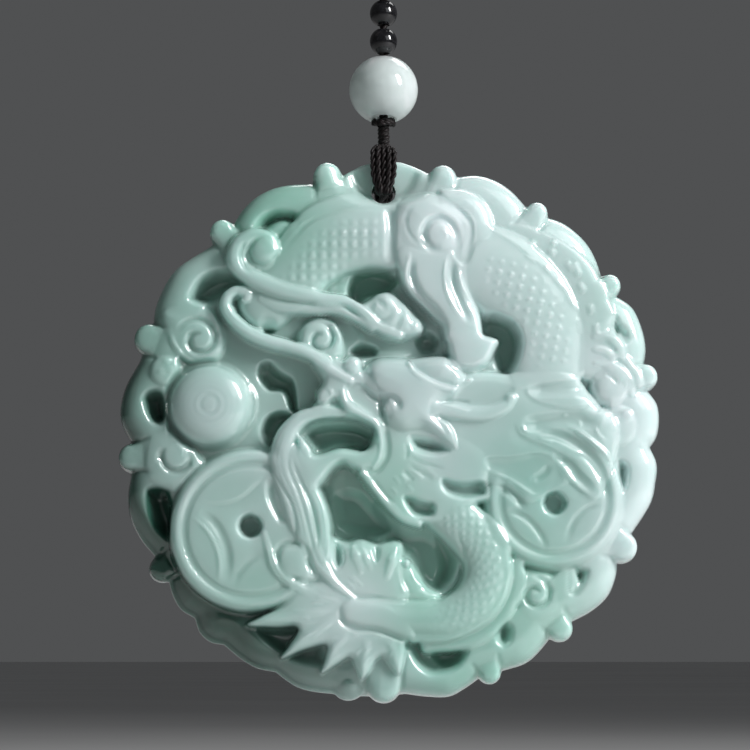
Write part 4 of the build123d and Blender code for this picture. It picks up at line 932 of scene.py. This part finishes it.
def drill(piece, centre, radius):
    """Cuts a round hole through a piece along Y."""
    around = 56
    tool_reach = 20 * MM
    turns = [2 * math.pi * k / around for k in range(around)]
    points = []
    for y in (-tool_reach, tool_reach):
        points += [(centre[0] + radius * math.cos(t), y, centre[2] + radius * math.sin(t)) for t in turns]
    faces = [tuple(range(around)), tuple(range(2 * around - 1, around - 1, -1))]
    for k in range(around):
        n = (k + 1) % around
        faces.append((k, k + around, n + around, n))
    mesh = bpy.data.meshes.new("drill")
    mesh.from_pydata(points, [], faces)
    tool = bpy.data.objects.new("drill", mesh)
    bpy.context.scene.collection.objects.link(tool)
    cut = piece.modifiers.new("hole", "BOOLEAN")
    cut.operation = "DIFFERENCE"
    cut.solver = "EXACT"
    cut.object = tool
    graph = bpy.context.evaluated_depsgraph_get()
    carved = bpy.data.meshes.new_from_object(piece.evaluated_get(graph))
    piece.modifiers.clear()
    piece.data = carved
    bpy.data.objects.remove(tool)


def read_values(things, name, wide):
    """One row of values for each vertex or face of a mesh."""
    values = np.zeros(len(things) * wide)
    things.foreach_get(name, values)
    return values.reshape(-1, wide)


def shade_carving(piece, carving):
    """Gives the carved face the exact slopes of its relief, keeps the back flat and the hole crisp."""
    mesh = piece.data
    places = read_values(mesh.vertices, "co", 3)
    across = (places[:, 0] - disc_centre_x) / jade_radius * 100
    up = (places[:, 2] - disc_centre_z) / jade_radius * 100
    inner = np.hypot(across, up) < rim_reach(np.arctan2(up, across)) - 2.5
    front = inner & (places[:, 1] < back_y - jade_back_round * 1.05)
    rise_across = carving.sample(carving.slope_across, across[front], up[front])
    rise_up = carving.sample(carving.slope_up, across[front], up[front])
    normals = np.zeros(places.shape)
    normals[front] = np.stack([-rise_across, -np.ones(len(rise_up)), -rise_up], -1)
    normals[front] /= np.linalg.norm(normals[front], axis=1)[:, None]
    normals[places[:, 1] > back_y - 0.001 * MM] = (0, 1, 0)
    facing = read_values(mesh.polygons, "normal", 3)
    middles = read_values(mesh.polygons, "center", 3)
    from_hole = np.hypot(middles[:, 0], middles[:, 2] - hole_centre)
    wall = (np.abs(facing[:, 1]) < 0.2) & (from_hole < cord_hole_radius * 1.001)
    chosen = normals[[loop.vertex_index for loop in mesh.loops]]
    chosen[np.repeat(wall, [face.loop_total for face in mesh.polygons])] = 0
    mesh.normals_split_custom_set(chosen)


def lathe(name, profile, around, material):
    """A closed form turned round Z: rows of radius and height, from its top down and back up inside."""
    count = len(profile)
    turns = [2 * math.pi * k / around for k in range(around)]
    points = [(r * math.cos(t), r * math.sin(t), z) for t in turns for r, z in profile]
    faces = []
    for k in range(around):
        n = (k + 1) % around
        for i in range(count):
            j = (i + 1) % count
            faces.append((k * count + i, k * count + j, n * count + j, n * count + i))
    return mesh_object(name, points, faces, material)


def bead_profile(radius, bore, mouth, steps):
    """Half outline of a drilled bead, with a slightly rounded edge at each end of its bore."""
    top = math.acos(bore * 1.12 / radius)
    bottom = -math.acos(mouth * 1.03 / radius)
    rows = []
    for k in range(steps + 1):
        angle = top + (bottom - top) * k / steps
        rows.append((radius * math.cos(angle), radius * math.sin(angle)))
    lip = radius * math.sin(bottom) + 0.02 * radius
    rows.append((mouth * 0.99, lip))
    rows.append((bore, lip + (mouth - bore)))
    rows.append((bore, radius * math.sin(top) - 0.02 * radius))
    return rows


def crease(piece, degrees):
    """Marks the edges that turn by more than an angle as sharp."""
    piece.data.set_sharp_from_angle(angle=math.radians(degrees))


def loop_length(drop):
    """Length of a loop round the neck circle and the small turn a drop below it."""
    lean = math.asin((neck_radius - turn_radius) / drop)
    round_top = neck_radius * (math.pi + 2 * lean)
    round_turn = turn_radius * (math.pi - 2 * lean)
    return round_top + round_turn + 2 * drop * math.cos(lean)


def find_drop():
    """Drop between the two circles that gives the loop its length."""
    low = neck_radius + turn_radius
    high = necklace_length
    halvings = 60
    for _ in range(halvings):
        half_way = (low + high) / 2
        if loop_length(half_way) < necklace_length:
            low = half_way
        else:
            high = half_way
    return (low + high) / 2


def loop_place(distance):
    """Place and turn on the loop, a distance along it from the bottom of the small turn."""
    drop = find_drop()
    lean = math.asin((neck_radius - turn_radius) / drop)
    circle_centre = small_bead_radius - neck_radius
    turn_centre = circle_centre - drop
    turn_half = turn_radius * (math.pi / 2 - lean)
    run = drop * math.cos(lean)
    side = 1
    if distance > necklace_length / 2:
        distance = necklace_length - distance
        side = -1
    if distance <= turn_half:
        angle = distance / turn_radius
        x = turn_radius * math.sin(angle)
        z = turn_centre - turn_radius * math.cos(angle)
    elif distance <= turn_half + run:
        angle = math.pi / 2 - lean
        along = distance - turn_half
        x = turn_radius * math.sin(angle) + along * math.sin(lean)
        z = turn_centre - turn_radius * math.cos(angle) + along * math.cos(lean)
    else:
        angle = math.pi / 2 - lean + (distance - turn_half - run) / neck_radius
        x = neck_radius * math.sin(angle)
        z = circle_centre - neck_radius * math.cos(angle)
    return side * x, z, side * (math.pi / 2 - angle)


# Turn from one bead to the next about their bores, in radians
string_bead_spin = 1.9
drop_bead_spin = 1.3


def make_string(material):
    """All the small beads of the loop as one piece, each turned about its bore by its own angle."""
    profile = bead_profile(small_bead_radius, string_bore_radius, string_bore_radius, steps=11)
    bead = lathe("string_bead", profile, 18, material)
    base = read_values(bead.data.vertices, "co", 3)
    faces = [tuple(face.vertices) for face in bead.data.polygons]
    bpy.data.objects.remove(bead)
    length = necklace_length - eye_room
    count = math.floor(length / bead_pitch)
    points = []
    all_faces = []
    for k in range(count):
        x, z, turn = loop_place(eye_room / 2 + (k + 0.5) * length / count)
        spin = Matrix.Rotation(turn, 4, "Y") @ Matrix.Rotation(string_bead_spin * k, 4, "Z")
        grid = np.array(Matrix.Translation((x, 0, z)) @ spin)
        start = len(points)
        points += list(base @ grid[:3, :3].T + grid[:3, 3])
        all_faces += [tuple(start + n for n in face) for face in faces]
    return mesh_object("string_beads", points, all_faces, material)


def frames_along(path):
    """Each point of a path, with two directions square to it that turn as little as they can."""
    path = np.array(path, float)
    ahead = np.gradient(path, axis=0)
    ahead /= np.linalg.norm(ahead, axis=1)[:, None]
    side = np.cross(ahead[0], (0, 1, 0) if abs(ahead[0][1]) < 0.9 else (1, 0, 0))
    for point, onward in zip(path, ahead):
        side = side - onward * np.dot(side, onward)
        side /= np.linalg.norm(side)
        yield point, side, np.cross(onward, side)


def tube(path, radius, around):
    """Points and faces of a closed tube along a path."""
    points = []
    turns = [2 * math.pi * n / around for n in range(around)]
    for point, side, other in frames_along(path):
        points += [point + radius * (side * math.cos(t) + other * math.sin(t)) for t in turns]
    faces = []
    last = len(points) - around
    for start in range(0, last, around):
        for n in range(around):
            m = (n + 1) % around
            faces.append((start + n, start + m, start + around + m, start + around + n))
    faces.append(tuple(range(around - 1, -1, -1)))
    faces.append(tuple(last + n for n in range(around)))
    return points, faces


def ply(path, reach, turns, start):
    """A line that winds round a path at a reach from it."""
    travel = np.concatenate([[0], np.cumsum(np.linalg.norm(np.diff(path, axis=0), axis=1))])
    result = []
    for (point, side, other), share in zip(frames_along(path), travel / travel[-1]):
        t = start + 2 * math.pi * turns * share
        result.append(point + reach * (side * math.cos(t) + other * math.sin(t)))
    return np.array(result)


def pair_of_yarns(path, reach, turns, radius, around, start=0.0):
    """Two yarns twisted round a path."""
    return [tube(ply(path, reach, turns, math.pi * yarn + start), radius, around) for yarn in range(2)]


def join_tubes(name, tubes, material):
    """All the tubes as one object."""
    points = []
    faces = []
    for tube_points, tube_faces in tubes:
        start = len(points)
        points += tube_points
        faces += [tuple(start + n for n in face) for face in tube_faces]
    return mesh_object(name, points, faces, material)


# The hanging cord: an outer and an inner layer of plied strands that pass over the rim
outer_strands = 5
inner_strands = 4
strand_yarn_radius = 0.17 * MM
outer_fan_width = 2.30 * MM
inner_fan_width = 1.80 * MM
outer_leg = 3.46 * MM
inner_leg = 2.98 * MM
strand_turns = 12.0
yarn_sides = 7
stem_strands = 5
stem_reach = 0.42 * MM
stem_twist = 1.4
stem_yarn_turns = 3.0
knot_turns = 2.4
knot_steps = 44
core_turns = 9.0
core_yarn_reach = 0.24 * MM
core_yarn_radius = 0.26 * MM
eye_turns = 5.0
eye_yarn_reach = 0.13 * MM
eye_yarn_radius = 0.165 * MM
knot_top = bead_centre - math.sqrt(jade_bead_radius ** 2 - jade_bead_mouth ** 2) + 0.42 * MM
knot_bottom = knot_top - 1.1 * MM


def strand_path(share, width, leg, lift):
    """One strand of the hanging cord: down in front of the rim, through the hole and up behind it."""
    wide = share * width
    tight = share * 1.1 * MM
    leg += lift
    run_z = hole_centre + 0.3 * MM + share * 0.5 * MM
    legs = []
    for side in (-1, 1):
        y = side * leg
        legs.append([
            (wide * 0.55 - 0.1 * MM, y * 0.36, rim_top + (1.75 - 0.25 * abs(share)) * MM),
            (wide * 0.98, y * 0.86, rim_top + (1.05 - 0.3 * abs(share)) * MM),
            (wide, y, rim_top - 0.2 * MM),
            (wide * 0.97, y, rim_top - 1.6 * MM),
            (wide * 0.72, y, rim_top - 2.8 * MM),
            (tight, y * 0.97, hole_centre - 0.05 * MM),
            (tight * 0.5, y * 0.72, run_z - 0.15 * MM),
        ])
    return legs[0] + [(tight * 0.3, 0, run_z)] + legs[1][::-1]


def make_hanging_cord(material):
    """Twisted strands over the rim, a twisted stem, a knot in the bead's mouth, a core and an eye."""
    tubes = []
    for count, width, leg in (
        (outer_strands, outer_fan_width, outer_leg),
        (inner_strands, inner_fan_width, inner_leg),
    ):
        for number in range(count):
            share = number / (count - 1) - 0.5
            lift = (0.1 if number % 2 else -0.1) * MM
            path = curve(strand_path(share, width, leg, lift), steps=9)
            tubes += pair_of_yarns(path, strand_yarn_radius * 0.8, strand_turns, strand_yarn_radius,
                                   yarn_sides, start=number)
    stem = curve([(0, 0, rim_top + 1.15 * MM), (0.05 * MM, 0, rim_top + 2.0 * MM),
                  (0, 0, knot_bottom + 0.2 * MM)], steps=14)
    for number in range(stem_strands):
        line = ply(stem, stem_reach, stem_twist, 2 * math.pi * number / stem_strands)
        tubes += pair_of_yarns(line, strand_yarn_radius * 0.7, stem_yarn_turns, strand_yarn_radius * 0.95,
                               yarn_sides)
    wraps = []
    for k in range(knot_steps + 1):
        turn = 2 * math.pi * knot_turns * k / knot_steps
        reach = (1.12 - 0.15 * k / knot_steps) * MM
        height = (knot_bottom + 0.32 * MM) + (knot_top - knot_bottom - 0.5 * MM) * k / knot_steps
        height += 0.2 * math.sin(turn) * reach
        wraps.append((reach * math.cos(turn), reach * math.sin(turn) - 0.25 * MM, height))
    tubes += pair_of_yarns(wraps, strand_yarn_radius * 0.9, strand_turns, strand_yarn_radius * 1.1,
                           yarn_sides)
    core = curve([(0, 0, knot_bottom - 0.1 * MM), (0, 0, (knot_bottom + eye_centre) / 2),
                  (0, 0, eye_centre - cord_eye_radius)], steps=70)
    tubes += pair_of_yarns(core, core_yarn_reach, core_turns, core_yarn_radius, 10)
    ring = [(0, cord_eye_radius * math.sin(a), eye_centre - cord_eye_radius * math.cos(a))
            for a in np.linspace(0, 2 * math.pi, 41)]
    tubes += pair_of_yarns(ring, eye_yarn_reach, eye_turns, eye_yarn_radius, 8)
    return join_tubes("cord_strands", tubes, material)


class Looks:
    """A new material, with short ways to add and join its nodes."""

    def __init__(self, name):
        self.material = bpy.data.materials.new(name)
        self.material.use_nodes = True
        self.nodes = self.material.node_tree.nodes
        self.links = self.material.node_tree.links
        self.shader = self.nodes["Principled BSDF"]
        self.coordinates = self.nodes.new("ShaderNodeTexCoord").outputs["Object"]

    def feed(self, node, values):
        """Sets or links a node's sockets, named or numbered."""
        for key, value in values.items():
            if isinstance(value, bpy.types.NodeSocket):
                self.links.new(value, node.inputs[key])
            else:
                node.inputs[key].default_value = value

    def add(self, kind, values, **settings):
        """A new node with its settings, and its sockets set or linked."""
        node = self.nodes.new("ShaderNode" + kind)
        for name, value in settings.items():
            setattr(node, name, value)
        self.feed(node, values)
        return node

    def noise(self, scale, detail=3.0, roughness=0.5, distortion=0.0, vector=None):
        """Clouds at a scale in turns a metre, over the object or over other coordinates."""
        values = {"Vector": vector or self.coordinates, "Scale": scale, "Detail": detail,
                  "Roughness": roughness, "Distortion": distortion}
        return self.add("TexNoise", values).outputs["Fac"]

    def ramp(self, value, stops):
        """A colour that follows a value through stops of place and colour."""
        node = self.add("ValToRGB", {"Fac": value})
        node.color_ramp.interpolation = "EASE"
        elements = node.color_ramp.elements
        while len(elements) < len(stops):
            elements.new(0.5)
        for element, (place_at, colour) in zip(elements, stops):
            element.position = place_at
            element.color = (*colour, 1)
        return node.outputs["Color"]

    def mix(self, kind, factor, first, second):
        """Two colours, on sockets 6 and 7, mixed or multiplied by a factor."""
        if isinstance(second, tuple):
            second = (*second, 1)
        values = {"Factor": factor, 6: first, 7: second}
        return self.add("Mix", values, data_type="RGBA", blend_type=kind).outputs[2]

    def remap(self, value, low, high, new_low, new_high):
        """A value carried from one range to another, and held at its ends."""
        values = {"Value": value, "From Min": low, "From Max": high, "To Min": new_low, "To Max": new_high}
        return self.add("MapRange", values).outputs["Result"]

    def join(self, operation, first, *others):
        """Several values joined one after another."""
        for other in others:
            first = self.add("Math", {0: first, 1: other}, operation=operation).outputs["Value"]
        return first

    def largest(self, *values):
        return self.join("MAXIMUM", *values)

    def product(self, *values):
        return self.join("MULTIPLY", *values)

    def vector(self, operation, first, second, output="Value"):
        """Two vectors joined by an operation."""
        values = {0: first, 1: second}
        return self.add("VectorMath", values, operation=operation).outputs[output]

    def bump(self, height, distance, strength):
        """Fine relief on the surface from a height."""
        node = self.add("Bump", {"Height": height, "Distance": distance, "Strength": strength})
        self.feed(self.shader, {"Normal": node.outputs["Normal"]})


# Colour of the stone by level, greener and darker lower down, partly its own tone and partly painted shade
# in the deep cuts: the level's share of the disc's thickness, and the colour there
DEPTH_COLOURS = [
    (0.16, (0.240, 0.400, 0.350)),
    (0.32, (0.300, 0.470, 0.415)),
    (0.50, (0.340, 0.525, 0.470)),
    (0.68, (0.400, 0.575, 0.535)),
    (0.90, (0.490, 0.630, 0.615)),
]

# Soft spots of paler and of greener stone: across, up, reach, and strength at the middle
PALER_SPOTS = [(-11, -62, 34, 0.72), (-52, -38, 34, 0.30), (22, 74, 30, 0.85), (24, -60, 26, 0.60)]
GREENER_SPOTS = [(52, -18, 40, 0.95), (-50, 74, 34, 0.6), (24, -94, 46, 0.8), (-74, 40, 34, 0.5)]

# Up's share in the slanting direction along which the stone grows paler
up_share = 0.45
stone_ior = 1.62


def spots(looks, flat, rows):
    """Soft round clouds through the stone, from coordinates laid flat."""
    found = []
    for across, up, reach, most in rows:
        centre = (disc_centre_x + across / 100 * jade_radius, 0.0, disc_centre_z + up / 100 * jade_radius)
        wide = reach / 100 * jade_radius
        found.append(looks.remap(looks.vector("DISTANCE", flat, centre), wide, 0.15 * wide, 0.0, most))
    return looks.largest(*found)


def jade_material():
    """Polished translucent stone: greener and darker where it is cut deep, partly its own tone and partly
    painted shade; whiter on its crests and to the upper right, partly painted light; painted shade low down
    to the left.
    """
    looks = Looks("carved_jade")
    split = looks.add("SeparateXYZ", {"Vector": looks.coordinates})
    level = looks.remap(split.outputs["Y"], back_y, back_y - jade_thickness, 0.0, 1.0)
    # The rim's side and the back are as pale as the face
    flat = looks.vector("MULTIPLY", looks.coordinates, (1.0, 0.0, 1.0), "Vector")
    from_middle = looks.vector("DISTANCE", flat, (disc_centre_x, 0.0, disc_centre_z))
    at_rim = looks.remap(from_middle, 0.90 * jade_radius, 0.97 * jade_radius, 0.0, 0.62)
    at_back = looks.remap(level, 0.05, 0.14, 0.62, 0.0)
    shown_level = looks.largest(level, at_rim, at_back)
    depth_colour = looks.ramp(shown_level, DEPTH_COLOURS)
    # Whiter to the right and above, greener to the left, in soft clouds: partly the stone's own tone, partly
    # painted light on the side the key light comes from
    cloudy = looks.noise(60.0, detail=4.0, roughness=0.55, distortion=0.6)
    lean = looks.vector("DOT_PRODUCT", looks.coordinates, (1.0, 0.0, up_share))
    middle_lean = disc_centre_x + up_share * disc_centre_z
    sideways = looks.remap(lean, middle_lean - 0.030, middle_lean + 0.028, 0.08, 0.75)
    clouds = looks.product(sideways, looks.remap(cloudy, 0.30, 0.66, 0.45, 1.1))
    in_front = looks.remap(level, 0.14, 0.35, 0.0, 1.0)
    white_share = looks.largest(clouds, looks.product(spots(looks, flat, PALER_SPOTS), in_front))
    whitened = looks.mix("MIX", white_share, depth_colour, (0.71, 0.80, 0.815))
    surface = looks.remap(shown_level, 0.30, 0.50, 0.0, 1.0)
    tinted = looks.mix("MIX", surface, depth_colour, whitened)
    green_cloud = looks.remap(looks.noise(38.0, detail=2.0), 0.44, 0.66, 0.0, 0.8)
    green_side = looks.remap(lean, middle_lean + 0.010, middle_lean + 0.026, 1.0, 0.15)
    body = looks.mix("MULTIPLY", looks.product(green_cloud, green_side), tinted, (0.70, 0.92, 0.82))
    body = looks.mix("MULTIPLY", spots(looks, flat, GREENER_SPOTS), body, (0.66, 0.84, 0.78))
    # Painted shade: darker green low down to the left, on the face below the crests, away from the light
    shaded_side = looks.remap(lean, middle_lean - 0.014, middle_lean - 0.026, 0.0, 0.97)
    below_crests = looks.remap(level, 0.56, 0.70, 1.0, 0.0)
    over_back = looks.remap(level, 0.05, 0.14, 0.0, 1.0)
    edge_side = looks.remap(at_rim, 0.25, 0.62, 0.0, 1.0)
    rim_side = looks.product(edge_side, looks.remap(level, 0.22, 0.34, 1.0, 0.0))
    painted_shade = looks.product(below_crests, over_back, looks.remap(rim_side, 0.0, 1.0, 1.0, 0.1))
    # the painted shade is multiplied into the colour here
    body = looks.mix("MULTIPLY", looks.product(shaded_side, painted_shade), body, (0.060, 0.160, 0.125))
    looks.feed(looks.shader, {
        "Base Color": body,
        "Subsurface Weight": 0.85,
        "Subsurface Radius": (0.9, 1.05, 1.0),
        "Subsurface Scale": 0.0024,
        "IOR": stone_ior,
        "Roughness": looks.remap(looks.noise(420.0, detail=4.0), 0.3, 0.7, 0.12, 0.20),
        "Coat Weight": 0.7,
        "Coat Roughness": 0.05,
        "Coat IOR": 1.6,
    })
    looks.bump(looks.noise(900.0), 0.00002, 0.3)
    return looks.material


def bead_material():
    """The pale bead: milky stone with faint clouds."""
    looks = Looks("pale_jade")
    cloudy = looks.noise(260.0, detail=4.0, distortion=1.0)
    looks.feed(looks.shader, {
        "Base Color": looks.ramp(cloudy, [(0.34, (0.46, 0.53, 0.52)), (0.52, (0.51, 0.58, 0.57)),
                                          (0.70, (0.58, 0.63, 0.63))]),
        "Subsurface Weight": 1.0,
        "Subsurface Radius": (1.0, 1.0, 0.97),
        "Subsurface Scale": 0.0090,
        "IOR": stone_ior,
        "Roughness": looks.remap(looks.noise(700.0), 0.3, 0.7, 0.05, 0.09),
    })
    looks.bump(looks.noise(1500.0), 0.00001, 0.2)
    return looks.material


def black_material():
    """Polished black stone beads with faint brown-grey bands and fine marks in the polish."""
    looks = Looks("black_stone")
    bands = looks.noise(900.0, detail=5.0, distortion=1.4)
    looks.feed(looks.shader, {
        "Base Color": looks.ramp(bands, [(0.40, (0.006, 0.006, 0.007)), (0.60, (0.011, 0.011, 0.013)),
                                         (0.78, (0.030, 0.026, 0.026))]),
        "IOR": 1.54,
        "Roughness": looks.remap(looks.noise(2500.0, detail=4.0), 0.3, 0.7, 0.07, 0.16),
    })
    looks.bump(looks.noise(3200.0), 0.000012, 0.25)
    return looks.material


def cord_material(name, dark, light, fibre_scale):
    """Twisted waxed cord: dark fibres with lighter ones along them."""
    looks = Looks(name)
    stretch = looks.add("Mapping", {"Vector": looks.coordinates, "Scale": (1.0, 1.0, 0.35),
                                    "Rotation": (0.0, 0.6, 0.3)})
    fibres = looks.noise(fibre_scale, detail=5.0, roughness=0.65, vector=stretch.outputs["Vector"])
    looks.feed(looks.shader, {
        "Base Color": looks.ramp(fibres, [(0.35, dark), (0.68, light)]),
        "Roughness": looks.remap(fibres, 0.3, 0.7, 0.62, 0.42),
        "Specular IOR Level": 0.3,
        "Sheen Weight": 0.02,
        "Sheen Roughness": 0.4,
    })
    looks.bump(fibres, 0.00006, 0.8)
    return looks.material


def floor_material():
    """Plain pale floor with faint clouds."""
    looks = Looks("pale_floor")
    looks.feed(looks.shader, {
        "Base Color": looks.ramp(looks.noise(3.0), [(0.3, (0.60, 0.60, 0.60)), (0.7, (0.66, 0.66, 0.66))]),
        "Roughness": 0.6,
    })
    return looks.material


def dress(piece, body, slot, *nodes):
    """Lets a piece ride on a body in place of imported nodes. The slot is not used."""
    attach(piece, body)
    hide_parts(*nodes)


jade = jade_material()
pale = bead_material()
black = black_material()
brown = cord_material("brown_cord_fibre", (0.0020, 0.0010, 0.0012), (0.010, 0.0050, 0.0056), 5200.0)
thread = cord_material("thread_fibre", (0.006, 0.004, 0.004), (0.020, 0.013, 0.012), 6000.0)

net_rows = 292
relief_pitch = 0.3
carving = make_jade(net_rows, relief_pitch, jade)
dress(carving, "pendant", "jade", "jade_pendant")

cord = make_hanging_cord(brown)
crease(cord, 60)
dress(cord, "necklace", "brown_cord", "hanging_cord")

pale_profile = bead_profile(jade_bead_radius, jade_bead_bore, jade_bead_mouth, steps=44)
pale_bead = lathe("pale_bead", pale_profile, 88, pale)
crease(pale_bead, 35)
pale_bead.data.transform(Matrix.Translation((0, 0, bead_centre)) @ Matrix.Rotation(bead_tilt, 4, "X"))
dress(pale_bead, "necklace", "jade_bead", "jade_bead")

for number in range(1, drop_bead_count + 1):
    node = f"drop_bead_{number}"
    profile = bead_profile(small_bead_radius, drop_bore_radius, drop_bore_radius, steps=26)
    drop = lathe(f"black_bead_{number}", profile, 48, black)
    crease(drop, 35)
    drop.data.transform(Matrix.Translation(middle(node)) @ Matrix.Rotation(drop_bead_spin * number, 4, "Z"))
    dress(drop, "necklace", "black_bead", node)

string = make_string(black)
crease(string, 45)
dress(string, "necklace", "black_bead", "bead_string")

frame["nodes"]["string_thread"].data.materials[0] = thread

# Floor, lights and camera
floor_z = -374 * MM
floor_reach = 30
corners = [(x * floor_reach, y * floor_reach, floor_z) for x, y in ((-1, -1), (1, -1), (1, 1), (-1, 1))]
floor = mesh_object("floor", corners, [(0, 1, 2, 3)], floor_material())

face_centre = Vector((disc_centre_x, -4 * MM, disc_centre_z))


def softbox(name, direction, distance, width, height, power, colour):
    """A soft rectangular light that faces the disc from a direction."""
    light = bpy.data.lights.new(name, "AREA")
    light.shape = "RECTANGLE"
    light.size = width
    light.size_y = height
    light.energy = power
    light.color = colour
    lamp = bpy.data.objects.new(name, light)
    aim = Vector(direction).normalized()
    lamp.location = face_centre + aim * distance
    lamp.rotation_euler = aim.to_track_quat("Z", "Y").to_euler()
    bpy.context.scene.collection.objects.link(lamp)


# Direction from the disc, distance, width, height, power and colour
softbox("key", (0.74, -0.46, 0.50), 0.45, 0.09, 0.22, 2.3, (1.0, 1.0, 1.0))
softbox("fill", (0.55, -0.62, 0.56), 0.17, 0.10, 0.10, 0.045, (0.94, 0.98, 1.0))
softbox("rim", (0.25, 0.55, 0.80), 0.70, 0.50, 0.30, 1.5, (1.0, 1.0, 1.0))

world = bpy.context.scene.world or bpy.data.worlds.new("studio")
bpy.context.scene.world = world
world.use_nodes = True
background = world.node_tree.nodes["Background"]
background.inputs["Color"].default_value = (0.80, 0.82, 0.84, 1)
background.inputs["Strength"].default_value = 0.10
bpy.context.scene.view_settings.view_transform = "Standard"

view_distance = 350 * MM
view_width = 80.85 * MM
view_rise = math.radians(-5)
view_centre = Vector((disc_centre_x - 1.51 * MM, -1 * MM, disc_centre_z + 5.82 * MM))
lens = bpy.data.cameras.new("photo_camera")
lens.sensor_width = 36
lens.lens = lens.sensor_width * view_distance / view_width
lens.clip_start = 0.01
lens.clip_end = 100
camera = bpy.data.objects.new("photo_camera", lens)
toward = Vector((0, -math.cos(view_rise), math.sin(view_rise)))
camera.location = view_centre + toward * view_distance
camera.rotation_euler = toward.to_track_quat("Z", "Y").to_euler()
bpy.context.scene.collection.objects.link(camera)
bpy.context.scene.camera = camera
